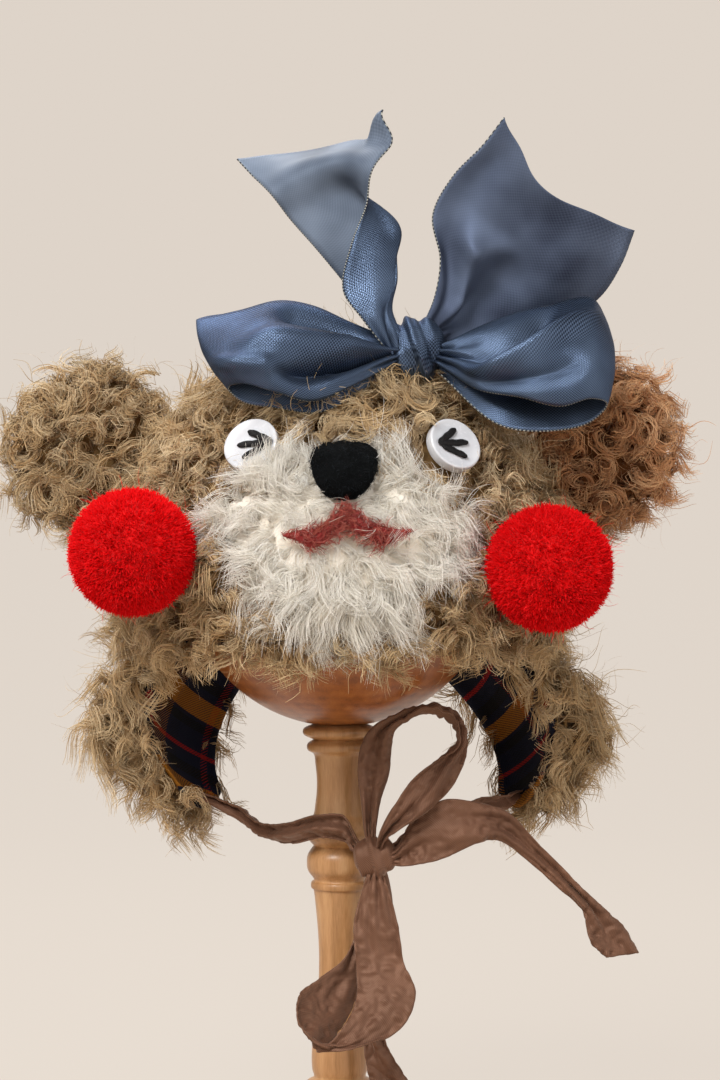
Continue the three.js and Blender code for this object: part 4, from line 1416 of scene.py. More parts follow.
@dataclass(frozen=True)
class Fur:
    """The curly pile of the crown, the ears, the flaps and the muzzle."""

    head: Head
    crown_curl: Curl = Curl(0.0094, 0.0025, 1.25, 19, 0.0009, 0.00026, 0.5, droop=0.15)
    forelock_curl: Curl = Curl(0.0108, 0.0033, 1.35, 24, 0.0008, 0.00025, 0.55, droop=0.15, steps=10)
    ear_curl: Curl = Curl(0.0086, 0.0026, 1.3, 20, 0.0009, 0.00026, 0.55, droop=0.1)
    flap_curl: Curl = Curl(0.0108, 0.0028, 1.25, 20, 0.0009, 0.00026, 0.42, droop=0.35)
    muzzle_curl: Curl = Curl(0.0078, 0.0014, 0.8, 36, 0.0013, 0.00016, 0.4, droop=0.2, steps=6)
    short_curl: Curl = Curl(0.0056, 0.001, 0.6, 34, 0.0011, 0.00016, 0.32, steps=5)
    wisp_curl: Curl = Curl(0.0115, 0.0014, 0.7, 36, 0.0014, 0.00016, 0.36, steps=7, wild=0.12)
    stray_curl: Curl = Curl(0.011, 0.002, 0.7, 1, 0.0004, 0.00016, 0.8, steps=9, taper=0.0)
    fine_stray_curl: Curl = Curl(0.008, 0.0008, 0.5, 1, 0.0004, 0.00013, 0.4, steps=7, taper=0.0)
    near_mouth: float = 0.0055
    near_nose: float = 0.0115
    cover: Pair = (-0.0172, 0.0225)
    cover_radius: float = 0.0064
    side_turn: float = 75

    def build(self) -> None:
        """Grow every furry piece."""
        self.crown()
        self.ear("left", "tan")
        # The right ear takes the copy of the tan pile and ground with painted shade.
        self.ear("right", "rust")
        for side in ("left", "right"):
            self.flap(side)
        self.muzzle()

    def crown(self) -> None:
        """Grow the crown's pile in six pieces over one ground."""
        ground = Ground("hat_crown", "crown_ground", 0.0032, 2)
        settle(dress(ground.obj, "tan ground"), "bonnet", ["hat_crown"])
        rng = np.random.default_rng(11)
        roots, facing = ground.scatter(0.003, self.on_crown, rng)
        x, z = roots[:, 0], roots[:, 2] - self.head.centre
        flow = random_flow(facing, rng, (0, 0, -0.5))
        scale = np.ones(len(roots))
        for eye_x, eye_z in EYE_PLACES.values():
            near = (roots[:, 1] < 0) & (np.hypot(x - eye_x, z - eye_z) < EYE_RADIUS + 0.004)
            away = np.stack([x - eye_x, np.zeros(len(x)), z - eye_z], 1)
            flow[near] = unit(away[near]) * 2 + flow[near] * 0.5
            scale[near] = 0.6
        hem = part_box("hat_crown")[0].z + 0.006
        scale[(roots[:, 1] > 0) & (roots[:, 2] < hem)] = 0.6
        forelock = (roots[:, 1] < 0) & (np.abs(x - 0.006) < 0.016) & (z > 0.031) & (z < 0.056)
        turn = np.degrees(np.arctan2(roots[:, 0], -roots[:, 1]))
        high = z > 0.03
        parts = {
            "crown_pile_front": (np.abs(turn) < self.side_turn) & ~high & ~forelock,
            "crown_forelock": forelock,
            "crown_pile_top": high & ~forelock & (roots[:, 1] < 0),
            "crown_pile_back": high & (roots[:, 1] >= 0),
            "crown_pile_left": (turn <= -self.side_turn) & ~high,
            "crown_pile_right": (turn >= self.side_turn) & ~high,
        }
        for name, chosen in parts.items():
            pile = Pile()
            curl = self.forelock_curl if name == "crown_forelock" else self.crown_curl
            pile.grow(roots[chosen], facing[chosen], flow[chosen], curl, rng, scale[chosen])
            self.strays(pile, roots[chosen], facing[chosen], 0.5, rng)
            pile.lay(name, "tan pile", "bonnet")

    def on_crown(self, place: np.ndarray, facing: np.ndarray) -> np.ndarray:
        """Keep the crown's outer side, clear of the eyes and under the muzzle.

        Args:
            place: places on the skin.
            facing: its directions there.

        Returns:
            True where locks may grow.
        """
        middle = np.array([0, 0, self.head.centre])
        outer = np.sum((place - middle) * facing, -1) > 0.0
        outer &= self.head.size_at(place) > 0.9
        x, z = place[:, 0], place[:, 2] - self.head.centre
        face = place[:, 1] < 0
        covered = face & (muzzle_share(x, z) < 0.86)
        for eye_x, eye_z in EYE_PLACES.values():
            covered |= face & (np.hypot(x - eye_x, z - eye_z) < EYE_RADIUS + 0.0002)
        return outer & ~covered

    def strays(
        self,
        pile: Pile,
        roots: np.ndarray,
        facing: np.ndarray,
        share: float,
        rng: np.random.Generator,
        curl: Curl | None = None,
    ) -> None:
        """Add single fine hairs over the locks.

        Args:
            pile: the pile to add to.
            roots: the locks' places.
            facing: the ground's directions there.
            share: hairs for each lock.
            rng: draws the hairs.
            curl: the kind of hair, where it isn't the usual one.
        """
        count = int(len(roots) * share)
        if count:
            chosen = rng.choice(len(roots), count)
            shift = rng.normal(0, 0.0012, (count, 3))
            hair = facing[chosen]
            start = roots[chosen] + shift + hair * 0.003
            pile.grow(start, hair, random_flow(hair, rng), curl or self.stray_curl, rng)

    def ear(self, side: str, colour: str) -> None:
        """Grow one ear.

        Args:
            side: left or right.
            colour: tan, or, for the right ear, a warmer copy of the tan colours with painted shade.
        """
        node = f"{side}_ear"
        ground = Ground(node, f"{node}_ground", 0.0032, 2)
        body = f"{node}_flop_body"
        settle(dress(ground.obj, f"{colour} ground"), body, [node])
        rng = np.random.default_rng(21 if side == "left" else 22)

        def free(place: np.ndarray, facing: np.ndarray) -> np.ndarray:
            """Keep what stands clear of the crown."""
            return self.head.size_at(place) > 1.03

        roots, facing = ground.scatter(0.0027, free, rng)
        pile = Pile()
        pile.grow(roots, facing, random_flow(facing, rng), self.ear_curl, rng)
        self.strays(pile, roots, facing, 0.6, rng)
        pile.lay(f"{node}_pile", f"{colour} pile", body)

    def flap(self, side: str) -> None:
        """Grow one ear flap's outer side and edges.

        Args:
            side: left or right.
        """
        node = f"{side}_flap"
        body = f"{node}_body"
        ground = Ground(node, f"{node}_ground", 0.0035, 3)
        settle(dress(ground.obj, "tan ground"), body, [node])
        rng = np.random.default_rng(31 if side == "left" else 32)
        low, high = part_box(f"{side}_flap_lining")
        top = high.z
        edge = 0.42 * max(abs(low.x), abs(high.x)) + 0.58 * min(abs(low.x), abs(high.x))

        def outside(place: np.ndarray, facing: np.ndarray) -> np.ndarray:
            """Keep what doesn't face the head or the crown's rim.

            Args:
                place: places on the skin.
                facing: its directions there.

            Returns:
                True where locks may grow.
            """
            spoke = unit(place * [1, 1, 0])
            away = np.sum(spoke * facing, -1)
            behind = (np.abs(place[:, 0]) < edge) & (facing[:, 1] > -0.4) & (away < 0.88)
            return (away > -0.35) & ~behind & ~((place[:, 2] > top - 0.003) & (facing[:, 2] > 0.6))

        roots, facing = ground.scatter(0.0027, outside, rng)
        pile = Pile()
        flow = random_flow(facing, rng, (0, 0, -1.4))
        rear = np.abs(roots[:, 0]) < edge
        rim = ~rear & (facing[:, 1] < -0.45)
        flow[rear, 0] += 2.4 * np.sign(roots[rear, 0])
        flow[rim, 0] -= 1.3 * np.sign(roots[rim, 0])
        scale = np.where(rear, 0.55, np.where(rim, 0.75, 1.0))
        pile.grow(roots, facing, flow, self.flap_curl, rng, scale)
        self.strays(pile, roots, facing, 0.6, rng)
        pile.lay(f"{node}_pile", "tan pile", body)

    def muzzle(self) -> None:
        """Grow the cream muzzle, combed away from the nose and the mouth."""
        ground = Ground("muzzle", "muzzle_ground", 0.003, 2)
        dress(ground.obj, "cream ground", "tan ground")
        centre = self.head.centre
        for face in ground.obj.data.polygons:
            face.material_index = int(not cream_at(face.center.x, face.center.z - centre))
        settle(ground.obj, "bonnet", ["muzzle"])
        rng = np.random.default_rng(41)

        def front(place: np.ndarray, facing: np.ndarray) -> np.ndarray:
            """Keep the front, clear of the nose and the mouth.

            Args:
                place: places on the skin.
                facing: its directions there.

            Returns:
                True where locks may grow.
            """
            x, z = place[:, 0], place[:, 2] - centre
            nose = np.hypot((x - NOSE_PLACE[0]) / NOSE_HALF[0], (z - NOSE_PLACE[1]) / NOSE_HALF[1])
            return (facing[:, 1] < 0.25) & (nose > 0.92) & (distance_to_mouth(x, z) > 0.0024)

        roots, facing = ground.scatter(0.0021, front, rng)
        x, z = roots[:, 0], roots[:, 2] - centre
        from_nose = np.hypot(x - NOSE_PLACE[0], z - NOSE_PLACE[1])
        cream = cream_at(x, z)
        near = cream & ((distance_to_mouth(x, z) < self.near_mouth) | (from_nose < self.near_nose))
        from_cover = np.hypot(x - self.cover[0], z - self.cover[1])
        cover = cream & ~near & (from_cover < self.cover_radius)
        wisp = cream & ~near & ~cover & (z > 0.0205) & (np.abs(x) > 0.006)
        rest = cream & ~near & ~cover & ~wisp
        away = np.stack([x - NOSE_PLACE[0], np.zeros(len(x)), z - NOSE_PLACE[1] * 0.6], 1)
        flow = unit(away) * 1.1 + random_flow(facing, rng) * 0.9 + [0, 0, -0.3]
        rim = smoothstep(muzzle_share(x, z), 0.7, 1.0)
        scale = 1.1 - 0.3 * rim * (z < 0)
        pile = Pile()
        pile.grow(roots[near], facing[near], flow[near], self.short_curl, rng)
        pile.grow(roots[rest], facing[rest], flow[rest], self.muzzle_curl, rng, scale[rest])
        up = np.stack([np.where(x < 0, -0.3, 0.05), np.zeros(len(x)), np.ones(len(x))], 1)
        up = up + random_flow(facing, rng) * 0.3
        pile.grow(roots[wisp], facing[wisp], up[wisp], self.wisp_curl, rng, np.where(x < 0, 0.75, 1.0)[wisp])
        for rise in (0.0012, 0.003):
            across = np.array([-0.45, 0, 0.9]) + random_flow(facing[cover], rng) * 0.25
            raised = roots[cover] + facing[cover] * rise
            pile.grow(raised, facing[cover], across, self.wisp_curl, rng, 0.66)
        self.strays(pile, roots[cream], facing[cream], 0.7, rng, self.fine_stray_curl)
        pile.lay("muzzle_pile", "cream pile", "bonnet")
        fringe = ~cream & (rng.uniform(0, 1, len(x)) < 0.6)
        pile = Pile()
        down = random_flow(facing, rng, (0, 0, -0.8))
        pile.grow(roots[fringe], facing[fringe], down[fringe], self.crown_curl, rng, 0.85)
        pile.lay("muzzle_fringe", "tan pile", "bonnet")


@dataclass(frozen=True)
class Face:
    """The nose, the mouth and the button eyes."""

    head: Head
    stitches: dict[str, tuple[tuple[Pair, Pair], ...]] = field(
        default_factory=lambda: {
            "left": (((5.4, 0.6), (-0.5, 3.1)), ((5.4, 0.2), (-2.6, -0.6)), ((5, -0.4), (-0.6, -4))),
            "right": (((-4.9, 0), (0.3, 3.6)), ((-4.6, -0.3), (2.8, 0.1)), ((-4, -1.2), (1.3, -3.8))),
        }
    )

    def build(self) -> None:
        """Make every piece of the face but the muzzle."""
        self.nose()
        self.mouth()
        for side in EYE_PLACES:
            self.eye(side)

    def nose(self) -> None:
        """Round the felt nose and let it fuzz."""
        ground = Ground("nose", "felt_nose", 0.0003, 2, grain=0.00012)
        settle(dress(ground.obj, "black felt"), "bonnet", ["nose"])
        rng = np.random.default_rng(51)
        roots, facing = ground.scatter(0.0005, lambda place, out: out[:, 1] < 0.2, rng)
        fuzz = Curl(0.0013, 0.0002, 0.5, 1, 0.0001, 0.0001, 0.25, steps=4)
        pile = Pile()
        pile.grow(roots, facing, random_flow(facing, rng), fuzz, rng)
        pile.lay("nose_fuzz", "black pile", "bonnet")

    def mouth(self) -> None:
        """Lay raspberry fibres along the mouth."""
        ground = Ground("mouth", "felted_mouth", 0.0003, 2, grain=0.0002)
        felt = points_of(ground.obj)
        for rows in (felt, ground.skin):
            line = np.interp(rows[:, 0], MOUTH_LINE[:, 0], MOUTH_LINE[:, 1]) + self.head.centre
            thin = 1 - 0.65 * smoothstep(np.abs(rows[:, 0] - MOUTH_MIDDLE), 0.008, 0.0165)
            rows[:, 2] = line + (rows[:, 2] - line) * thin
        set_points(ground.obj, felt)
        settle(dress(ground.obj, "raspberry felt"), "bonnet", ["mouth"])
        rng = np.random.default_rng(52)
        roots, facing = ground.scatter(0.00055, lambda place, out: out[:, 1] < 0.3, rng)
        pile = Pile()
        wisp = Curl(0.0032, 0.0005, 0.8, 3, 0.0003, 0.00014, 0.3, steps=6)
        along = np.where(roots[:, :1] < MOUTH_NOTCH, 1.0, -1.0) * [1.0, 0.0, 0.55]
        ends = 1 - 0.55 * smoothstep(np.abs(roots[:, 0] - MOUTH_MIDDLE), 0.008, 0.016)
        pile.grow(roots, facing, along + random_flow(facing, rng) * 0.7, wisp, rng, ends)
        pile.lay("mouth_fibres", "raspberry pile", "bonnet")

    def eye_frame(self, side: str) -> tuple[np.ndarray, np.ndarray]:
        """Find the middle of an eye's back and its three directions.

        Args:
            side: left or right.

        Returns:
            The place, and rows of across, upright and outward.
        """
        x, z = EYE_PLACES[side]
        seat = self.head.seat(x, z)
        out = self.head.outward(seat)
        across = unit(np.cross(UP, out))
        return seat + out * 0.0003, np.stack([across, np.cross(out, across), out])

    def eye(self, side: str) -> None:
        """Shape one button and sew its three stitches.

        Args:
            side: left or right.
        """
        origin, axes = self.eye_frame(side)
        button = primitive(
            f"{side}_button",
            bpy.ops.mesh.primitive_cylinder_add,
            vertices=64,
            radius=EYE_RADIUS,
            depth=EYE_THICKNESS,
            location=(0, 0, EYE_THICKNESS / 2),
        )
        bpy.ops.object.transform_apply(location=True)
        bpy.ops.object.mode_set(mode="EDIT")
        bpy.ops.mesh.select_all(action="DESELECT")
        bpy.ops.object.mode_set(mode="OBJECT")
        for face in button.data.polygons:
            face.select = face.normal.z > 0.9
        bpy.ops.object.mode_set(mode="EDIT")
        for inset, rise in ((0.0007, 0.0), (0.0006, -0.00025), (0.0022, 0.0002)):
            bpy.ops.mesh.inset(thickness=inset)
            bpy.ops.transform.translate(value=(0, 0, rise))
        bpy.ops.object.mode_set(mode="OBJECT")
        corner = math.radians(35)
        apply_modifier(button, "BEVEL", width=0.0004, segments=3, limit_method="ANGLE", angle_limit=corner)
        set_points(button, origin + points_of(button) @ axes)
        smooth(button, 60)
        settle(dress(button, "button white"), "bonnet", [f"{side}_eye"])
        bars = [self.bar(f"{side}_stitch_{i}", ends) for i, ends in enumerate(self.stitches[side])]
        select_only(*bars)
        bpy.ops.object.join()
        thread = bars[0]
        thread.name = f"{side}_eye_thread"
        set_points(thread, origin + points_of(thread) @ axes)
        smooth(thread, 180)
        settle(dress(thread, "black thread"), "bonnet", [f"{side}_eye_stitches"])

    def bar(self, name: str, ends: tuple[Pair, Pair]) -> bpy.types.Object:
        """Shape one stitch: thick thread, flattened, with a ply's twist.

        Args:
            name: the stitch's name.
            ends: its two ends on the button's face, in millimetres.

        Returns:
            The stitch, lying over the button's face.
        """
        start, end = (np.array([x * MM, y * MM]) for x, y in ends)
        length = float(np.linalg.norm(end - start)) + 0.0015
        bar = primitive(name, bpy.ops.mesh.primitive_uv_sphere_add, segments=20, ring_count=28, radius=1.0)
        ball = points_of(bar)
        share = ball[:, 2]
        around = np.arctan2(ball[:, 1], ball[:, 0])
        body = np.sqrt(np.clip(1 - np.abs(share) ** 5, 0, 1))
        ply = 1 + 0.09 * np.cos(3 * around + share * 9)
        along = unit(end - start)
        across = np.array([-along[1], along[0]])
        middle = (start + end) / 2
        wide = 0.0009 * body * ply * np.cos(around)
        lift = EYE_THICKNESS + 0.00035 + 0.00055 * body * ply * np.sin(around)
        flat = middle + along * (share * length / 2)[:, None] + across * wide[:, None]
        set_points(bar, np.column_stack([flat, lift]))
        return bar


@dataclass(frozen=True)
class Pompoms:
    """The two red wool pompoms on the cheeks."""

    depth: float = 0.0014
    fibres: int = 22000
    loose_fibres: int = 260

    def build(self) -> None:
        """Make each ball of cut wool."""
        for side in ("left", "right"):
            node = f"{side}_pompom"
            middle, half = middle_and_half(node)
            radius = half[0]
            add = bpy.ops.mesh.primitive_ico_sphere_add
            core = primitive(f"{node}_core", add, subdivisions=6, radius=1.0)
            ball = unit(points_of(core))
            lumps = wobble(ball, 7.0, 5.0 if side == "left" else 9.0) * 0.0005
            tufts = wobble(ball, 22.0, 2.0) * 0.0003
            set_points(core, middle + ball * (radius - self.depth + lumps + tufts)[:, None])
            smooth(core)
            settle(dress(core, "red ground"), "bonnet", [node])
            self.wool(node, middle, radius, np.random.default_rng(61 if side == "left" else 62))

    def wool(self, node: str, middle: np.ndarray, radius: float, rng: np.random.Generator) -> None:
        """Grow the cut ends of the yarn.

        Args:
            node: the pompom's node.
            middle: its centre.
            radius: of the ball at the fibres' ends.
            rng: draws the fibres.
        """
        index = np.arange(self.fibres) + 0.5
        polar = np.arccos(1 - 2 * index / self.fibres)
        turn = math.pi * (1 + 5**0.5) * index
        facing = np.stack([np.cos(turn) * np.sin(polar), np.sin(turn) * np.sin(polar), np.cos(polar)], 1)
        facing = unit(facing + rng.normal(0, 0.02, facing.shape))
        roots = middle + facing * (radius - self.depth - 0.0006)
        pile = Pile()
        tuft = Curl(self.depth + 0.0006, 0.0002, 0.5, 1, 0.0002, 0.00034, 0.9, steps=3, bend=0.15, wild=0.06)
        pile.grow(roots, facing, random_flow(facing, rng), tuft, rng)
        loose = rng.choice(self.fibres, self.loose_fibres)
        hair = Curl(0.0055, 0.0008, 0.6, 1, 0.0003, 0.00012, 0.7, steps=7)
        pile.grow(roots[loose], facing[loose], random_flow(facing[loose], rng), hair, rng)
        pile.lay(f"{node}_wool", "red pile", "bonnet")


def spline(points: np.ndarray, count: int) -> np.ndarray:
    """Run a centripetal curve through points.

    Args:
        points: rows of x, y and z.
        count: steps along the whole curve.

    Returns:
        Rows of places, one more than the steps.
    """
    rows = np.array([2 * points[0] - points[1], *points, 2 * points[-1] - points[-2]])
    place = np.linspace(0, len(points) - 1, count + 1)
    index = np.minimum(place.astype(int), len(points) - 2)
    t = (place - index)[:, None]
    a, b, c, d = (rows[index + k] for k in range(4))
    spans = (b - a, c - b, d - c)
    e, f, g = (np.sqrt(np.maximum(np.linalg.norm(span, axis=1), 1e-6))[:, None] for span in spans)
    start = ((b - a) / e - (c - a) / (e + f) + (c - b) / f) * f
    end = ((c - b) / f - (d - b) / (f + g) + (d - c) / g) * f
    return b + start * t + (-3 * b + 3 * c - 2 * start - end) * t**2 + (2 * b - 2 * c + start + end) * t**3


class Cloth(Enum):
    """The two ribbons."""

    BLUE = ("blue ribbon", "blue_ribbon", 38.0, 0.00045)
    BROWN = ("brown ribbon", "brown_ribbon", 12.0, 0.0004)

    def __init__(self, finish: str, slot: str, width_mm: float, thickness: float) -> None:
        """Keep what makes the ribbon.

        Args:
            finish: the finish's name.
            slot: the record's material slot; kept, but not used.
            width_mm: the ribbon's width.
            thickness: the ribbon's thickness, in metres.
        """
        self.finish = finish
        self.slot = slot
        self.width_mm = width_mm
        self.thickness = thickness


@dataclass(frozen=True)
class Fold:
    """A ridge or, below 0, a groove between two places, each a share along and across a ribbon."""

    start: Pair
    end: Pair
    height_mm: float
    width: float

    def height(self, along: np.ndarray, across: np.ndarray, stretch: float) -> np.ndarray:
        """Work out the fold's height over a ribbon's grid.

        Args:
            along: shares along the ribbon.
            across: shares across it.
            stretch: how many widths long the ribbon is.

        Returns:
            A height for each point.
        """
        start = np.array([self.start[0] * stretch, self.start[1]])
        span = np.array([self.end[0] * stretch, self.end[1]]) - start
        place = np.stack(np.broadcast_arrays(along * stretch, across), -1) - start
        share = place @ span / (span @ span)
        off = place @ np.array([-span[1], span[0]]) / np.linalg.norm(span)
        ends = smoothstep(share, 0.0, 0.3) * (1 - smoothstep(share, 0.7, 1.0))
        return self.height_mm * MM * ends * np.exp(-((off / self.width) ** 2))


@dataclass(frozen=True)
class Ribbon:
    """One length of ribbon through stations, each a row of places across it in millimetres."""

    name: str
    node: str
    stations: tuple[Station, ...]
    cloth: Cloth = Cloth.BLUE
    steps: int = 100
    across: int = 36
    pleats: float = 0.0012
    pleat_count: float = 3.5
    crinkle: float = 0.0
    gathers: float = 0.0
    seed: float = 1.0
    folds: tuple[Fold, ...] = ()
    front: float = 1.0
    stretch: float = 1.7
    tip_curl: Row | None = None
    tip_waves: tuple[Row, ...] = ()
    roll: float = 0.00022
    sides: tuple[str, ...] = ()

    def grid(self, origin: np.ndarray, place: Move | None = None) -> np.ndarray:
        """Work out the ribbon's middle sheet.

        Args:
            origin: the knot's centre.
            place: moves points that must clear something.

        Returns:
            The sheet's points, along by across.
        """
        rows = origin + np.array(self.stations) * MM
        lines = [spline(rows[:, k], self.steps) for k in range(rows.shape[1])]
        s = np.linspace(0, 1, self.across + 1)
        weights = [(1 - s) * (1 - 2 * s), 4 * s * (1 - s), s * (2 * s - 1)] if len(lines) == 3 else [1 - s, s]
        grid = sum(line[:, None, :] * weight[None, :, None] for line, weight in zip(lines, weights))
        grid = place(grid) if place else grid
        facing = unit(np.cross(np.gradient(grid, axis=1), np.gradient(grid, axis=0)))
        grid = grid + facing * self.relief(grid, origin, s)[..., None]
        u = np.linspace(0, 1, self.steps + 1)[:, None]
        if self.tip_waves:
            ahead = unit(np.gradient(grid, axis=0))
            rise = sum(height * MM * np.exp(-(((s - at) / wide) ** 2)) for at, wide, height in self.tip_waves)
            grid = grid + ahead * (smoothstep(u, 0.6, 1.0) * rise[None, :])[..., None]
        if self.tip_curl:
            share = smoothstep(u, 0.84, 1.0) * (1 - smoothstep(s, 0.0, 0.3))[None, :]
            grid = grid + (share**2)[..., None] * np.array(self.tip_curl) * MM
        return grid

    def relief(self, grid: np.ndarray, origin: np.ndarray, s: np.ndarray) -> np.ndarray:
        """Work out the height of the pleats by the knot, the folds and the creases.

        Args:
            grid: the sheet's points.
            origin: the knot's centre.
            s: shares across the ribbon.

        Returns:
            A height for each point.
        """
        away = np.linalg.norm(grid - origin, axis=-1)
        gather = np.exp(-np.maximum(away - 0.006, 0) / 0.012)
        wave = np.cos(2 * math.pi * self.pleat_count * s + self.seed)[None, :]
        height = self.pleats * gather * wave * np.sin(math.pi * s)[None, :] ** 0.3
        u = np.linspace(0, 1, self.steps + 1)[:, None]
        for fold in self.folds:
            height = height + self.front * fold.height(u, s[None, :], self.stretch)
        if self.crinkle:
            flat = np.zeros(grid.shape)
            flat[..., 0] = s * self.cloth.width_mm * MM
            flat[..., 1] = run_along(grid[:, self.across // 2])[:, None] * 0.22
            samples = ((flat, 420.0, 0), (grid, 430.0, 7), (flat * [0, 1, 0], 160.0, 3))
            lengthwise, crumple, drift = (
                wobble(rows.reshape(-1, 3), scale, self.seed + shift).reshape(height.shape)
                for rows, scale, shift in samples
            )
            height = height + self.crinkle * (lengthwise + 0.5 - 1.3 * np.abs(crumple))
            gather = np.cos(2 * math.pi * (1.5 * s[None, :] + 0.6 * drift) + self.seed)
            height = height + self.gathers * gather * smoothstep(away, 0.004, 0.012)
        return height

    def run(self, grid: np.ndarray) -> np.ndarray:
        """Measure how far along the ribbon each row of its grid lies, in millimetres."""
        return run_along(grid[:, self.across // 2]) / MM

    def build(self, grid: np.ndarray) -> bpy.types.Object:
        """Shape a flat grid into the ribbon and give it its thickness.

        Args:
            grid: the points of its middle sheet.

        Returns:
            The ribbon.
        """
        add = bpy.ops.mesh.primitive_grid_add
        sheet = primitive(self.name, add, x_subdivisions=self.across, y_subdivisions=self.steps, size=2)
        flat = points_of(sheet)
        column = np.rint((flat[:, 0] + 1) / 2 * self.across).astype(int)
        row = np.rint((flat[:, 1] + 1) / 2 * self.steps).astype(int)
        set_points(sheet, grid[row, column])
        across = column / self.across * self.cloth.width_mm
        cloth_map(sheet, lambda _: np.stack([across, self.run(grid)[row]], 1))
        dress(sheet, *(self.sides or (self.cloth.finish, self.cloth.finish)))
        apply_modifier(sheet, "SOLIDIFY", thickness=self.cloth.thickness, offset=0.0, material_offset=1)
        smooth(sheet, 180)
        return sheet

    def edging(self, grid: np.ndarray) -> bpy.types.Object:
        """Run a stitched roll along both edges.

        Args:
            grid: the points of the ribbon's middle sheet.

        Returns:
            The two rolls, as one piece.
        """
        data = bpy.data.curves.new(f"{self.name}_edging", "CURVE")
        data.dimensions = "3D"
        data.bevel_depth = self.roll
        data.bevel_resolution = 1
        data.use_fill_caps = True
        for edge in (0, self.across):
            line = data.splines.new("POLY")
            line.points.add(self.steps)
            line.points.foreach_set("co", np.column_stack([grid[:, edge], np.ones(self.steps + 1)]).ravel())
        select_only(linked(f"{self.name}_edging", data))
        bpy.ops.object.convert(target="MESH")
        rolls = bpy.context.active_object
        smooth(rolls)

        def along(rows: np.ndarray) -> np.ndarray:
            """Find how far along the ribbon each place lies."""
            nearest = [np.argmin(np.linalg.norm(grid[:, (0, -1)] - row, axis=2).min(1)) for row in rows]
            return np.column_stack([np.zeros(len(rows)), self.run(grid)[nearest]])

        cloth_map(rolls, along)
        return rolls

    def declare(
        self, sheet: bpy.types.Object, grid: np.ndarray, knot: str, edging: Sequence[bpy.types.Object] = ()
    ) -> None:
        """Args:
            sheet: the ribbon; not used.
            grid: the points of its middle sheet; not used.
            knot: the piece that holds it; not used.
            edging: the pieces along its edges; not used.
        """


